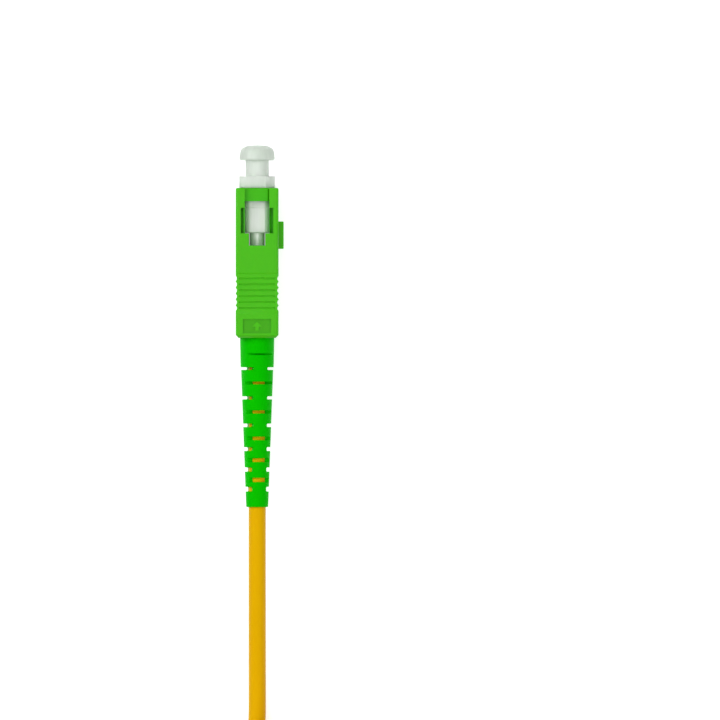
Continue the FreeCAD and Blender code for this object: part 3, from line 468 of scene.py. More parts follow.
def hank_corner(number):
    """One corner of the hank's line. A turn has 16: two on the left side, six round the foot,
    two on the right side and six round the top. Every three turns fill two layers of two
    tracks, one beside the other: the line steps in or out on the sides and climbs on the bends."""
    turn, spot = divmod(number, TURN_CORNERS)
    cycle, turn = divmod(turn, 3)
    inset, layer = {0: (0.0, 0.0), 1: (1.0, 0.0), 2: (1.0, 1.0)}[turn]
    if turn == 0:
        inset = min(1.0, max(0.0, (spot - 7) / 3))
    elif turn == 1:
        layer = min(1.0, max(0.0, (spot - 2) / 5))
    else:
        inset = max(0.0, 1.0 - (spot + 1) / 3)
        layer += max(0.0, (spot - 10) / 6)
    track = HANK_BEND - COIL_PITCH * inset
    height = CABLE_RADIUS + COIL_LIFT + COIL_PITCH * (2 * cycle + layer)
    reach = track / math.cos(HALF_STEP)
    side_end = track * math.tan(HALF_STEP)
    run = (HANK_STRAIGHT + 2 * side_end) / 3
    waist = track - SIDE_WAIST
    if spot < 2:
        return Vector((HANK_X - waist, HANK_TOP + side_end - run * (spot + 1), height))
    if spot < 8:
        angle = math.pi + HALF_STEP * (2 * (spot - 2) + 1)
        return Vector((HANK_X + reach * math.cos(angle), HANK_FOOT + reach * math.sin(angle), height))
    if spot < 10:
        return Vector((HANK_X + waist, HANK_FOOT - side_end + run * (spot - 7), height))
    angle = HALF_STEP * (2 * (spot - 10) + 1)
    return Vector((HANK_X + reach * math.cos(angle), HANK_TOP + reach * math.sin(angle), height))


def route():
    """Corner points of the free cable's line, from inside the boot's mouth to the cut end."""
    points = [
        Vector((0, low("jacket_front").y, AXIS_HEIGHT)),
        Vector((0, BOOT_END - 14.0 * MM, AXIS_HEIGHT)),
        Vector((0, BOOT_END - 29.5 * MM, CABLE_RADIUS)),
        Vector((0, BOOT_END - 40.2 * MM, CABLE_RADIUS + 0.1 * MM)),
        Vector((-HANK_OFFSET - 0.1 * MM, BOOT_END - 49.9 * MM, CABLE_RADIUS + 0.2 * MM)),
    ]
    points += [hank_corner(number) for number in range(HANK_CORNERS)]
    tail = points.pop()
    points.append(points[-1] + (tail - points[-1]) * LAST_RUN_SHARE)
    return points


class PLUG_OT_cable(bpy.types.Operator):
    """Lay the yellow jacket's line, its put-away coil and the cut end."""

    bl_idname = "plug.cable"
    bl_label = "Cable"

    def execute(self, context):
        points = route()
        tint = context.scene.plug_colours.jacket
        jacket = pvc_jacket("pvc_jacket_yellow", tint)
        curve = bpy.data.curves.new("cable_line", "CURVE")
        curve.dimensions = "3D"
        spline = curve.splines.new("NURBS")
        spline.points.add(len(points) - 1)
        spline.points.foreach_set("co", np.array([[*p, 1.0] for p in points]).ravel())
        spline.order_u = 3
        spline.use_endpoint_u = True
        spline.resolution_u = 10
        curve.bevel_depth = CABLE_RADIUS
        curve.bevel_resolution = 6
        curve.use_fill_caps = True
        curve.materials.append(jacket)
        cable = bpy.data.objects.new("cable_jacket", curve)
        context.scene.collection.objects.link(cable)
        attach(cable, "plug")
        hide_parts("cable", "cable_coil")

        start = behind(high("jacket_front").y)
        end = behind(low("jacket_front").y)
        turned_part("jacket_in_boot", [
            (1.0, start), (1.5, start), (1.5, end), (0.0, end), (0.0, start + 11.0),
            (1.0, start + 11.0)], "plug", jacket, "jacket_front", 0.02)
        ends = self.cut_end(points)
        return {"FINISHED"}

    def cut_end(self, points):
        """Yarn strands and the buffered fibre, standing out of the cable's cut end."""
        end = np.array(points[-1])
        heading = np.array((points[-1] - points[-2]).normalized())
        up = np.array([0.0, 0.0, 1.0])
        side = np.cross(heading, up)
        golden = math.pi * (3 - math.sqrt(5))
        number = np.arange(YARN_STRANDS)
        reach = np.sqrt(np.linspace(0.55 ** 2, 0.9 ** 2, number.size)) * MM
        angle = golden * number
        start = end + reach[:, None] * (np.cos(angle)[:, None] * side + np.sin(angle)[:, None] * up)
        long = (0.55 + 0.2 * np.sin(number * 2.4)) * MM
        lean = (start - end) * 0.06
        t = np.linspace(0.0, 1.0, 5)[None, :, None]
        lines = start[:, None] - heading * 0.1 * MM + t * (
            (long + 0.1 * MM)[:, None, None] * heading + lean[:, None])
        work = bmesh.new()
        for line in lines:
            strand = rod("strand", line, 0.06 * MM, 8, up)
            work.from_mesh(strand)
            bpy.data.meshes.remove(strand)
        plug = rod("yarn_bed", np.stack([end - heading * 0.2 * MM, end + heading * 0.08 * MM]),
                   0.97 * MM, 48, up)
        work.from_mesh(plug)
        bpy.data.meshes.remove(plug)
        mesh = bpy.data.meshes.new("cut_yarn")
        work.to_mesh(mesh)
        work.free()
        yarn = show("cut_yarn", mesh, "plug", aramid("aramid_cut_ends"), ["end_yarn"])
        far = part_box("end_buffer")
        middle = np.array((far[0] + far[1]) / 2)
        tip = middle + heading * np.dot(middle - end, heading)
        core_line = np.linspace(end - heading * 0.2 * MM, tip, 12)
        slim = np.full(12, 0.45 * MM)
        slim[-1] = 0.38 * MM
        core = show("cut_buffer", rod("cut_buffer", core_line, slim, 40, up), "plug",
                    clouded("nylon_tight_buffer_end", "E2E2DC", "F2F2EE",
                                            {"Roughness": 0.4}, 0.8), ["end_buffer"])
        return [yarn, core]


class PLUG_OT_tie(bpy.types.Operator):
    """Wrap the hook-and-loop tie round the put-away coil."""

    bl_idname = "plug.tie"
    bl_label = "Coil tie"

    def execute(self, context):
        wall = 0.35
        floor, width = low("coil_tie"), (high("coil_tie").y - low("coil_tie").y) / MM
        inner = (floor.x - HANK_X) / MM + wall
        outer = (high("coil_tie").x - HANK_X) / MM - wall
        top = high("coil_tie").z / MM - 2 * wall
        half = wall / 2
        # middle line of the strap: once round the wound cable, then over its own start
        line = rounded([
            (inner + 1.8, top + half), (outer - 0.6, top + half), (outer + half, top - 0.6),
            (outer + half, wall + 0.6), (outer - 0.6, half), (inner + 0.6, half),
            (inner - half, wall + 0.6), (inner - half, top - 0.6), (inner + 0.5, top + half),
            (inner + 1.3, top + half), (inner + 1.9, top + wall + half),
            (outer - 1.2, top + wall + half)], 0.55, 6)
        along = np.gradient(line, axis=0)
        along /= np.linalg.norm(along, axis=1)[:, None]
        across = np.stack([-along[:, 1], along[:, 0]], axis=1)
        # section of the strap: a flat rounded rectangle, thickness by width
        edge = rounded([(half, -width / 2), (half, width / 2), (-half, width / 2),
                        (-half, -width / 2), (half, -width / 2)], 0.12, 3)
        flat = line[:, None] + across[:, None] * edge[None, :, :1] * 0.98
        span = np.broadcast_to(edge[None, :, 1], flat.shape[:2])
        middle = (high("coil_tie").y + low("coil_tie").y) / 2
        grid = np.stack([HANK_X + MM * flat[..., 0], middle + MM * span, MM * flat[..., 1]], axis=-1)
        ends = [np.repeat(grid[i].mean(axis=0)[None, None], grid.shape[1], axis=1) for i in (0, -1)]
        mesh = sheet_mesh("coil_tie_strap", np.concatenate([ends[0], grid, ends[1]]), wrap_rows=False)
        show("coil_tie_strap", mesh, "plug",
             hook_and_loop("nylon_hook_and_loop", context.scene.plug_colours.tie), ["coil_tie"])
        return {"FINISHED"}


# ------------------------------------------------------------------ mouldings
# the mark's recess, in millimetres: its place behind the front, its reach, and its floor's depth
RECESS_STATION = 23.97
RECESS_HALF_LENGTH = 1.3
RECESS_HALF_WIDTH = 2.5
RECESS_DEPTH = (0.22, 0.36)


class PLUG_OT_mouldings(bpy.types.Operator):
    """Round the edges of the outer housing and the plug frame and give them their green."""

    bl_idname = "plug.mouldings"
    bl_label = "Housing and plug frame"

    def execute(self, context):
        colours = context.scene.plug_colours
        housing = self.mould("outer_housing", "housing", "housing_green",
                             pbt_with_recess_shade("pbt_housing_green", colours.housing))
        # painted shade: the faces of the floor of the mark's recess are marked for a darker green
        self.mask_recess_shade(housing.data)
        self.mould("plug_frame", "plug", "frame_green", pbt("pbt_frame_green", colours.plug_body))
        return {"FINISHED"}

    def mould(self, node, body, slot_name, material):
        """A packed moulding with its edges rounded as the mould leaves them."""
        piece = show(f"{node}_moulding", refined(node), body, material, [node],
                     smooth=30.0)
        bevel = piece.modifiers.new("moulded_edges", "BEVEL")
        bevel.width = bpy.context.scene.plug_sizes.moulded_edge
        bevel.segments = 2
        bevel.limit_method = "ANGLE"
        bevel.angle_limit = math.radians(30.0)
        bevel.harden_normals = True
        return piece

    def mask_recess_shade(self, mesh):
        """Give the floor of each mark's recess, which lies 0.25 mm under a narrow face, the value 1,
        which marks where the housing's material paints shade:
        a face is on it when its centre is within the recess's length, width and depth."""
        centres = np.zeros(3 * len(mesh.polygons))
        mesh.polygons.foreach_get("center", centres)
        centres = centres.reshape(-1, 3)
        station = (FRONT - centres[:, 1]) / MM
        depth = (high("outer_housing").z - AXIS_HEIGHT - np.abs(centres[:, 2] - AXIS_HEIGHT)) / MM
        within = (np.abs(centres[:, 0]) < RECESS_HALF_WIDTH * MM) & (
            np.abs(station - RECESS_STATION) < RECESS_HALF_LENGTH)
        values = (within & (depth > RECESS_DEPTH[0]) & (depth < RECESS_DEPTH[1])).astype(np.float32)
        mesh.attributes.new("recess", "FLOAT", "FACE").data.foreach_set("value", values)


# profiles of the cap, in millimetres: reach from the axis and distance behind the front
CAP_BORE = [(0.0, -4.4), (1.0, -4.4), (1.3, -4.1), (1.3, 7.75)]
CAP_SLEEVE = [(1.98, 7.75), (2.08, 7.65), (2.08, 3.5), (1.98, 3.42), (1.98, 3.32), (2.1, 3.28),
              (2.1, -0.05)]
CAP_HEAD = [(2.02, -2.06), (2.02, -4.83), (2.95, -4.83), (3.1, -5.08), (3.04, -5.73), (2.92, -6.36),
            (2.76, -6.76), (2.46, -7.04), (1.8, -7.34), (0.9, -7.43), (0.0, -7.46)]
# rows of the collar: distance behind the front and how far its rounded edge lies inside
COLLAR_ROWS = [(-0.05, 0.07), (-0.07, 0.02), (-0.12, 0.0), (-1.98, 0.0), (-2.04, 0.03), (-2.06, 0.08)]
# the collar's outline, and the places where it jumps from the circle to a square corner
COLLAR_RADIUS = 3.1
COLLAR_HALF_HEIGHT = 2.73
COLLAR_CORNER_FROM = 1.6
COLLAR_JUMPS = [(-2.655, COLLAR_CORNER_FROM), (-COLLAR_RADIUS, COLLAR_CORNER_FROM),
                (-COLLAR_RADIUS, COLLAR_HALF_HEIGHT), (1.469, COLLAR_HALF_HEIGHT)]
# rows beyond this reach are the sleeve's outside; its corners stand this much farther out
SLEEVE_OUTSIDE = 1.8
SLEEVE_CORNER = 0.39


class PLUG_OT_dust_cap(bpy.types.Operator):
    """Turn the dust cap, with its D-shaped collar."""

    bl_idname = "plug.dust_cap"
    bl_label = "Dust cap"

    def execute(self, context):
        tube, head = rounded(CAP_BORE + CAP_SLEEVE, 0.08), rounded(CAP_HEAD, 0.14)
        angle = np.unique(np.concatenate([
            np.linspace(0.0, FULL_TURN, 240, endpoint=False), self.steps()]))
        # the sleeve is a tube with four flats: the reach to a square, cut by a wider circle
        wide = tube[:, :1]
        square = wide / np.maximum(np.abs(np.cos(angle)), np.abs(np.sin(angle)))[None, :]
        reach = np.where(wide > SLEEVE_OUTSIDE, np.minimum(wide + SLEEVE_CORNER, square), wide)
        grid = [around(reach, tube[:, 1:], angle[None, :])]
        for station, inset in COLLAR_ROWS:
            reach = self.collar(angle) - inset
            grid.append(around(reach[None, :], np.array([[station]]), angle[None, :]))
        grid.append(around(head[:, :1], head[:, 1:], angle[None, :]))
        mesh = sheet_mesh("dust_cap_moulding", np.concatenate(grid), wrap_rows=False)
        show("dust_cap_moulding", mesh, "cap",
             polyethylene("ldpe_natural", context.scene.plug_colours.cap), ["dust_cap"], smooth=35.0)
        return {"FINISHED"}

    def steps(self):
        """Angles at which the collar's outline jumps, each a hair to both sides."""
        corners = np.array([math.atan2(z * side, x) % FULL_TURN
                            for x, z in COLLAR_JUMPS for side in (1, -1)])
        return np.concatenate([corners - 0.0012, corners, corners + 0.0012])

    def collar(self, angle):
        """Reach of the collar at an angle: a circle cut flat above and below, with square
        corners on the left."""
        across, up = np.cos(angle), np.abs(np.sin(angle))
        level = COLLAR_HALF_HEIGHT / np.maximum(up, 1e-9)
        reach = np.minimum(COLLAR_RADIUS, level)
        flat = np.where(
            across < 0, np.minimum(COLLAR_RADIUS / np.maximum(-across, 1e-9), level), 0.0)
        squared = (across < 0) & (flat * up >= COLLAR_CORNER_FROM)
        return np.where(squared, flat, reach)


# ------------------------------------------------------------------ boot
# place along the boot, height, and distance of the inner end from the boot's middle plane
SLITS = [(9.33, 0.26, 1.9), (14.31, 0.45, 1.1), (19.34, 0.52, 1.1), (23.93, 0.59, 1.1),
         (27.70, 0.66, 1.1), (31.14, 0.73, 1.1)]
NOTCHES = [(11.82, 0.46, 1.2), (16.90, 0.53, 1.2), (21.67, 0.6, 1.2), (25.79, 0.67, 1.2),
           (29.34, 0.74, 1.2), (32.75, 0.81, 1.2)]
# a row of the boot's grid lies in a slit, in a notch, or (with the sign turned) beside one;
# outside the slots its depth is beyond the boot's reach
SLIT, NOTCH, UNCUT = 1, 2, 9.0
# radius of the corners at a slot's inner end
INNER_CORNER = {SLIT: 0.08, NOTCH: 0.2}
# length of the crimp ring's narrow neck and of the slope in front of it
CRIMP_NECK = 3.5
CRIMP_SLOPE = 0.6
BOOT_TURN = math.radians(14.5)


class PLUG_OT_boot(bpy.types.Operator):
    """Mould the tapered boot with its slits and side notches."""

    bl_idname = "plug.boot"
    bl_label = "Strain relief boot"

    def execute(self, context):
        lip = context.scene.plug_sizes.slot_lip / MM
        start, end = behind(high("boot").y), behind(BOOT_END)
        crimp_end = behind(low("crimp_ring").y) - CRIMP_NECK - CRIMP_SLOPE
        outside = rounded([
            (start, 2.87), (start + 0.1, 2.97), (start + 7.0, 2.97), (start + 11.4, 2.88),
            (start + 12.2, 2.78), (end - 0.1, 1.92), (end, 1.82)], 0.3, 5)
        bore = np.array([
            (start, 2.3), (crimp_end + 0.1, 2.3), (crimp_end + 0.7, 1.85), (crimp_end + 4.3, 1.85),
            (crimp_end + 4.6, 1.55), (end, 1.55)])
        station, depth, kind, root = self.rows(start, end, outside, lip)
        outer = np.interp(station, outside[:, 0], outside[:, 1])
        inner = np.interp(station, bore[:, 0], bore[:, 1])
        angle, band = self.columns(outer, inner, depth, kind, root)
        sine = np.where(kind[:, None] == NOTCH, np.abs(np.cos(angle)), np.abs(np.sin(angle)))
        cut = np.where(kind[:, None] > 0, depth[:, None] / np.maximum(sine, 1e-9), UNCUT)
        reach = np.minimum(outer[:, None], cut)
        soft = self.lips(station, kind, lip) * self.near(angle, kind, root, outer)
        reach = np.maximum(reach - soft, inner[:, None])
        # the boot's own upright leans towards +x by its turn about the axis
        place = angle - BOOT_TURN
        top = around(reach, station[:, None], place)
        wall = around(np.broadcast_to(inner[:, None], reach.shape), station[:, None], place)
        rows, columns = reach.shape
        faces = quads(rows, columns, False, True)
        open_row = (kind > 0) & (depth <= inner + 1e-6)
        gap = open_row[:-1] & open_row[1:]
        hole = gap[:, None] & np.where(kind[:-1, None] == NOTCH, band["side"], band["top"])
        solid = faces[~hole]
        under = solid[:, ::-1] + rows * columns
        edge = np.arange(columns)
        following = (edge + 1) % columns
        front = np.stack([edge, following, following + rows * columns, edge + rows * columns], 1)
        rear = front + (rows - 1) * columns
        points = np.concatenate([top.reshape(-1, 3), wall.reshape(-1, 3)])
        mesh = merged("boot_moulding", points, np.concatenate([solid, under, front, rear]))
        show("boot_moulding", mesh, "plug",
             boot_elastomer("tpe_boot_green", context.scene.plug_colours.boot), ["boot"], smooth=38.0)
        return {"FINISHED"}

    def rows(self, start, end, outside, lip):
        """Stations of the grid's rows: the slots' own rows, their lips, and plain rows between."""
        stations, depths, kinds, roots = [], [], [], []

        def add(places, depth, kind, root):
            stations.append(places)
            depths.append(np.broadcast_to(depth, places.shape))
            kinds.append(np.full(places.size, kind))
            roots.append(np.full(places.size, root))

        slots = [(start + place, height, root, SLIT) for place, height, root in SLITS]
        slots += [(start + place, height, root, NOTCH) for place, height, root in NOTCHES]
        slots.sort()
        fade = lip * (1 - np.array([0.4, 0.75, 1.0]))
        turn = np.linspace(0.0, math.pi / 2, 4)
        last = start
        for middle, height, root, kind in slots:
            half = height / 2
            plain = np.unique(np.concatenate([
                outside[(outside[:, 0] > last) & (outside[:, 0] < middle - half - lip), 0],
                np.arange(last, middle - half - lip * 1.2, 0.4), [middle - half - lip]]))
            add(np.concatenate([plain, middle - half - fade]), UNCUT, -kind, root)
            # the inner end is flat, with a small radius in its corners
            corner = min(INNER_CORNER[kind], half * 0.7)
            inset = half - corner * (1 - np.cos(turn))
            across = np.linspace(-inset[-1], inset[-1], 5)[1:-1]
            off = np.concatenate([-inset, across, inset[::-1]])
            drop = corner * (1 - np.sin(turn))
            rise = np.concatenate([drop, np.zeros(across.size), drop[::-1]])
            add(middle + off, root + rise, kind, root)
            add(middle + half + fade[::-1], UNCUT, -kind, root)
            last = middle + half + lip
        plain = np.unique(np.concatenate([
            outside[outside[:, 0] > last, 0], np.arange(last, end, 0.4), [end]]))
        add(plain, UNCUT, -NOTCH, roots[-1][0])
        return (np.concatenate(stations), np.concatenate(depths), np.concatenate(kinds),
                np.concatenate(roots))

    def columns(self, outer, inner, depth, kind, root):
        """Angles of every row: a third of each quarter for the spine, the slot's slope and its
        opening, with the borders at sine = depth / outer and sine = depth / inner."""
        share = 10
        height = np.where(kind > 0, depth, root)
        first = np.arcsin(np.clip(height / outer, 0.0, 0.96))
        second = np.arcsin(np.clip(height / inner, 0.0, 0.99))
        second = np.maximum(second, first + 0.02)
        t = np.linspace(0.0, 1.0, share, endpoint=False)[None, :]
        quarter = np.concatenate([
            t * first[:, None], first[:, None] + t * (second - first)[:, None],
            second[:, None] + t * (math.pi / 2 - second)[:, None]], axis=1)
        end = np.full((len(quarter), 1), math.pi / 2)
        from_flat = np.concatenate([quarter, end], axis=1)
        from_top = (math.pi / 2 - from_flat)[:, ::-1]
        steps = np.where(np.abs(kind)[:, None] == NOTCH, from_top, from_flat)
        body = steps[:, :-1]
        angle = np.concatenate([body, math.pi - steps[:, :0:-1], math.pi + body,
                                FULL_TURN - steps[:, :0:-1]], axis=1)
        count = 3 * share
        number = np.arange(4 * count)
        from_axis = np.abs((number + count) % (2 * count) + 0.5 - count)
        return angle, {"top": from_axis > 2 * share, "side": from_axis < share}

    def lips(self, station, kind, lip):
        """How much the slot lips fall away from the outside: 0.8 of a lip at the slot's edge, and
        less by the square of the distance, down to 0 a lip's width off."""
        fall = np.zeros(station.size)
        for place, height, _ in SLITS + NOTCHES:
            off = np.abs(station - station[0] - place) - height / 2
            near = np.clip(1 - off / lip, 0.0, 1.0)
            fall = np.maximum(fall, np.where((off >= -1e-9) & (kind < 0), near ** 2 * lip * 0.8, 0.0))
        return fall[:, None]

    def near(self, angle, kind, root, outer):
        """1 over a slot's mouth and 0 over the spine beside it."""
        sine = np.where(
            np.abs(kind)[:, None] == NOTCH, np.abs(np.cos(angle)), np.abs(np.sin(angle)))
        return np.clip((sine - (root / outer)[:, None]) / 0.1, 0.0, 1.0)


# ------------------------------------------------------------------ inner parts
class PLUG_OT_ferrule(bpy.types.Operator):
    """Build the ferrule with its fibre, flange, guide tube, adhesive and buffer."""

    bl_idname = "plug.ferrule"
    bl_label = "Ferrule assembly"

    def execute(self, context):
        end = behind(low("ferrule").y)
        self.angled("ferrule_ground", [
            (0.0625, -0.3), (0.7, -0.3), (1.2495, 0.45), (1.2495, end - 0.2), (1.0495, end),
            (0.3625, end), (0.0625, end - 0.5)], "zirconia", zirconia("zirconia_ground"), "ferrule", 0.04)
        rear = behind(low("optical_fibre").y)
        self.angled("fibre_glass", [(0.0, -0.3), (0.0625, -0.3), (0.0625, rear), (0.0, rear)],
                    "silica", clouded("silica_fibre", "DDE6E8", "F4FAFB",
                                      {"Roughness": 0.05, "IOR": 1.46, "Transmission Weight": 0.5},
                                      0.1), "optical_fibre", 0.005)
        start, stop = behind(high("ferrule_flange").y), behind(low("ferrule_flange").y)
        self.flange(start, stop, end)
        tube = behind(low("guide_tube").y)
        turned_part("guide_tube_extruded", [
            (0.5, end), (0.8, end), (0.8, tube), (0.5, tube)], "ferrule_assembly",
            clouded("ptfe_tube", "E8E8E4", "F4F4F2", {"Roughness": 0.45}, 1.0), "guide_tube")
        fill = behind(low("epoxy_fill").y)
        turned_part("epoxy_bead", [
            (0.0625, end), (0.5, end), (0.5, fill), (0.0625, fill)], "ferrule_assembly",
            clouded("cured_epoxy", "9C5A1E", "C27A30",
                                   {"Roughness": 0.2, "IOR": 1.56, "Transmission Weight": 0.4}, 0.5),
            "epoxy_fill", 0.02)
        last = behind(low("tight_buffer").y)
        turned_part("tight_buffer_sheath", [
            (0.0625, fill), (0.45, fill), (0.45, last), (0.0625, last)], "ferrule_assembly",
            clouded("nylon_tight_buffer", "E2E2DC", "F2F2EE", {"Roughness": 0.4}, 0.8),
            "tight_buffer", 0.02)
        return {"FINISHED"}

    def angled(self, name, profile, slot_name, material, node, edge):
        """A turned rod whose tip is cut by the angled contact plane: the distance behind the
        front is at least x times the tangent of 8 degrees, less 0.2 mm."""
        line = rounded(profile + [profile[0]] if profile[0][0] else profile, edge)
        angle = np.linspace(0.0, FULL_TURN, 96, endpoint=False)[None, :]
        plane = np.tan(np.radians(8.0)) * line[:, :1] * np.cos(angle) - 0.2
        station = np.where(line[:, 1:] < 1.0, np.maximum(line[:, 1:], plane), line[:, 1:])
        grid = around(line[:, :1], station, angle)
        mesh = sheet_mesh(name, grid, wrap_rows=False)
        show(name, mesh, "ferrule_assembly", material, [node])

    def flange(self, start, stop, seat):
        """The turned flange: rows by angles, with four slots where |x| or |z| is under 0.4 mm."""
        line = rounded([
            (1.2495, seat), (1.2495, start), (1.95, start), (2.15, start + 0.2),
            (2.15, start + 1.85), (1.55, start + 1.85), (1.55, stop), (0.8, stop), (0.8, seat),
            (1.2495, seat)], 0.04, 3)
        step = math.asin(0.4 / 2.15)
        jumps = np.array([q * math.pi / 2 + s * step for q in range(4) for s in (1, -1)]) % FULL_TURN
        angle = np.unique(np.concatenate([
            np.linspace(0.0, FULL_TURN, 96, endpoint=False), jumps - 0.002, jumps + 0.002]))
        near = np.minimum(np.abs(np.cos(angle)), np.abs(np.sin(angle))) < math.sin(step)
        reach = np.where(near[None, :], np.minimum(line[:, :1], 1.6), line[:, :1])
        grid = around(reach, line[:, 1:], angle[None, :])
        show("flange_plated", sheet_mesh("flange_plated", grid, wrap_rows=False), "ferrule_assembly",
             nickel_plate("nickel_plated_flange", 0.12), ["ferrule_flange"])


class PLUG_OT_rear_parts(bpy.types.Operator):
    """Build the spring, stop ring, crimp ring and the yarn under it."""

    bl_idname = "plug.rear_parts"
    bl_label = "Spring, stop ring and crimp"

    def execute(self, context):
        front, rear = behind(high("spring").y), behind(low("spring").y)
        # a spring of six turns, of which 0.8 lies closed at each end
        wire, count, closed = 0.22, 6.0, 0.8
        turns = np.linspace(0.0, count, 361)
        rise = np.clip((turns - closed) / (count - 2 * closed), 0.0, 1.0)
        lead = np.minimum(turns, closed) * wire
        tail = np.maximum(turns - (count - closed), 0.0) * wire
        span = rear - front - 2 * wire - 2 * closed * wire
        station = front + wire + lead + tail + span * rise
        coil = around(1.9, station, turns * FULL_TURN)
        spring = show("spring_wound", rod("spring_wound", coil, wire * MM, 14, np.array([0.0, 1.0, 0.0])),
                      "plug", spring_wire("stainless_spring_wire"), ["spring"])
        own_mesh(spring)

        head = behind(high("stop_ring").y)
        collar = head + 1.0
        knurls = []
        for number in range(4):
            place = collar + 1.2 + 1.2 * (number + 1.0)
            knurls += [(1.75, place), (1.63, place + 0.2), (1.63, place + 0.5), (1.75, place + 0.7)]
        stop = behind(low("stop_ring").y)
        plate = nickel_plate("nickel_plated_brass", 0.1)
        turned_part("stop_ring_turned", [
            (1.2, head), (2.35, head), (2.35, collar), (2.8, collar), (2.8, collar + 1.2),
            (1.75, collar + 1.2)] + knurls + [(1.75, stop), (1.2, stop)], "plug",
            plate, "stop_ring")
        ring, last = behind(high("crimp_ring").y), behind(low("crimp_ring").y)
        neck = last - CRIMP_NECK
        turned_part("crimp_ring_drawn", [
            (1.88, ring), (2.25, ring), (2.25, neck - CRIMP_SLOPE), (1.8, neck), (1.8, last),
            (1.5, last), (1.5, neck), (1.88, neck - CRIMP_SLOPE)], "plug", plate,
            "crimp_ring")
        first, end = behind(high("aramid_yarn").y), behind(low("aramid_yarn").y)
        turned_part("yarn_folded_back", [
            (0.55, end), (0.97, end), (0.97, neck - 0.05), (1.45, neck - 0.15), (1.86, neck - 0.6),
            (1.88, neck - 0.7), (1.88, first), (1.75, first), (1.75, stop), (0.55, stop + 0.45)],
            "plug", aramid("aramid_yarn_bundle"), "aramid_yarn")
        return {"FINISHED"}


# ------------------------------------------------------------------ stage
VIEW_CENTRE = (17.85 * MM, -16.83 * MM)
FLOOR_REACH = 6.0
FLOOR_GAP = 0.06 * MM
# name, place, watts and side of each lamp; they all face the plug
LAMPS = [("key_softbox", (-0.75, 0.35, 0.85), 6.2, 0.7),
         ("fill_softbox", (0.9, -0.3, 0.9), 2.9, 0.9),
         ("overhead_softbox", (0.0, -0.02, 3.4), 36.0, 3.2)]


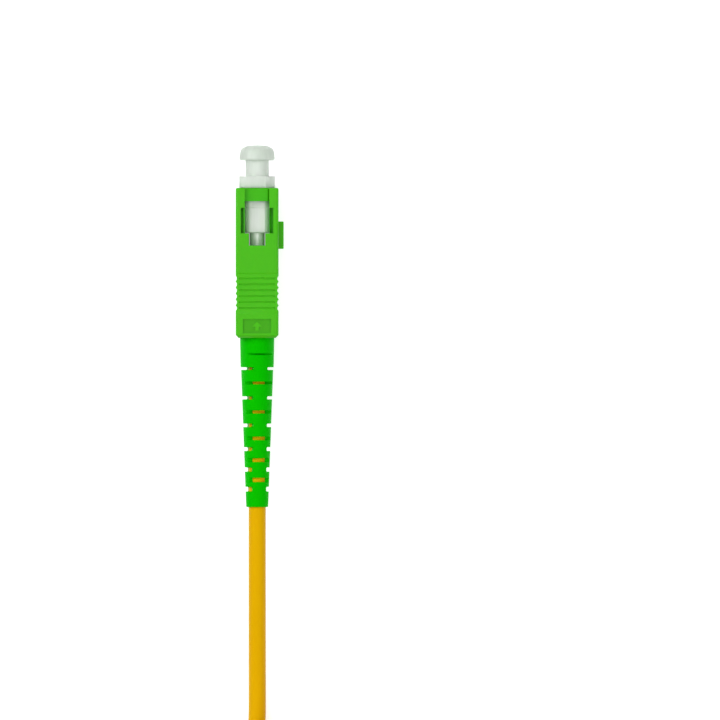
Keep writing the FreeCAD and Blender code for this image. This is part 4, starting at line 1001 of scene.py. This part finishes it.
class PLUG_OT_stage(bpy.types.Operator):
    """Set the camera, the pale floor and the soft studio light."""

    bl_idname = "plug.stage"
    bl_label = "Stage"

    def execute(self, context):
        scene, sizes = context.scene, context.scene.plug_sizes
        scene.view_settings.view_transform = "Standard"
        camera = bpy.data.cameras.new("overhead_camera")
        camera.sensor_width = 36.0
        camera.lens = 36.0 * sizes.camera_height / sizes.view_width
        camera.clip_end = 20.0
        eye = bpy.data.objects.new("overhead_camera", camera)
        eye.location = (*VIEW_CENTRE, high("outer_housing").z + sizes.camera_height)
        scene.collection.objects.link(eye)
        scene.camera = eye
        self.floor(scene)
        self.light(scene)
        return {"FINISHED"}

    def seen_rays(self, tree):
        """1 for camera, mirror and clear rays, which show the backdrop itself."""
        path = put(tree, "ShaderNodeLightPath")
        part = put(tree, "ShaderNodeMath", {0: path.outputs["Is Camera Ray"],
                                            1: path.outputs["Is Glossy Ray"]}, operation="MAXIMUM")
        return put(tree, "ShaderNodeMath", {0: part.outputs[0],
                                            1: path.outputs["Is Transmission Ray"]},
                   operation="MAXIMUM").outputs[0]

    def floor(self, scene):
        """A white sweep that glows to white for the camera and keeps the plug's shadow."""
        corners = FLOOR_REACH * np.array([(-1, -1), (1, -1), (1, 1), (-1, 1)])
        points = np.column_stack([corners, np.full(4, -FLOOR_GAP)])
        mesh = bpy.data.meshes.new("floor")
        mesh.from_pydata(points.tolist(), [], [(0, 1, 2, 3)])
        material = bpy.data.materials.new("white_sweep")
        material.use_nodes = True
        tree = material.node_tree
        tree.nodes.clear()
        paper = put(tree, "ShaderNodeBsdfDiffuse", {"Color": linear("F4F4F4")})
        glow = put(tree, "ShaderNodeEmission", {"Color": (1, 1, 1, 1)})
        # the glow is weaker where the plug covers the floor and less light gets there
        covered = put(tree, "ShaderNodeAmbientOcclusion", {"Distance": 12.0 * MM}, samples=8)
        open_floor = put(tree, "ShaderNodeMapRange", {
            "Value": covered.outputs["AO"], "From Min": 0.05, "From Max": 0.4, "To Min": 0.36,
            "To Max": 0.58})
        strength = put(tree, "ShaderNodeMath", {
            0: self.seen_rays(tree), 1: open_floor.outputs["Result"]}, operation="MULTIPLY")
        tree.links.new(strength.outputs[0], glow.inputs["Strength"])
        both = put(tree, "ShaderNodeAddShader", {0: paper.outputs[0], 1: glow.outputs[0]})
        put(tree, "ShaderNodeOutputMaterial", {"Surface": both.outputs[0]})
        mesh.materials.append(material)
        sweep = bpy.data.objects.new("floor", mesh)
        scene.collection.objects.link(sweep)

    def light(self, scene):
        """A pale world for soft light all round, and the lamps."""
        world = bpy.data.worlds.new("studio")
        scene.world = world
        world.use_nodes = True
        tree = world.node_tree
        tree.nodes.clear()
        seen = self.seen_rays(tree)
        strength = put(tree, "ShaderNodeMapRange", {"Value": seen, "To Min": 0.34, "To Max": 1.0})
        back = put(tree, "ShaderNodeBackground", {"Color": (1, 1, 1, 1),
                                                  "Strength": strength.outputs["Result"]})
        put(tree, "ShaderNodeOutputWorld", {"Surface": back.outputs[0]})
        for name, place, watts, side in LAMPS:
            lamp = bpy.data.lights.new(name, "AREA")
            lamp.energy = watts
            lamp.size = side
            thing = bpy.data.objects.new(name, lamp)
            thing.location = place
            aim = Vector((0.0, -0.02, 0.0)) - Vector(place)
            thing.rotation_euler = aim.to_track_quat("-Z", "Y").to_euler()
            scene.collection.objects.link(thing)


class PLUG_PT_panel(bpy.types.Panel):
    """Buttons and settings of the fibre plug."""

    bl_idname = "PLUG_PT_panel"
    bl_label = "Fibre Plug"
    bl_space_type = "VIEW_3D"
    bl_region_type = "UI"
    bl_category = "Fibre Plug"

    def draw(self, context):
        layout = self.layout
        for group in (context.scene.plug_colours, context.scene.plug_sizes):
            for field in group.__annotations__:
                layout.prop(group, field)
        for operator in OPERATORS:
            layout.operator(operator.bl_idname)


OPERATORS = (PLUG_OT_stage, PLUG_OT_tie, PLUG_OT_cable, PLUG_OT_mouldings, PLUG_OT_dust_cap,
             PLUG_OT_boot, PLUG_OT_ferrule, PLUG_OT_rear_parts)
CLASSES = (PlugColours, PlugSizes) + OPERATORS + (PLUG_PT_panel,)


def register():
    for item in CLASSES:
        bpy.utils.register_class(item)
    bpy.types.Scene.plug_colours = bpy.props.PointerProperty(type=PlugColours)
    bpy.types.Scene.plug_sizes = bpy.props.PointerProperty(type=PlugSizes)


def unregister():
    del bpy.types.Scene.plug_sizes
    del bpy.types.Scene.plug_colours
    for item in reversed(CLASSES):
        bpy.utils.unregister_class(item)


def main():
    register()
    bpy.ops.plug.stage()
    bpy.ops.plug.tie()
    bpy.ops.plug.cable()
    bpy.ops.plug.mouldings()
    bpy.ops.plug.dust_cap()
    bpy.ops.plug.boot()
    bpy.ops.plug.ferrule()
    bpy.ops.plug.rear_parts()


if __name__ == "__main__":
    main()
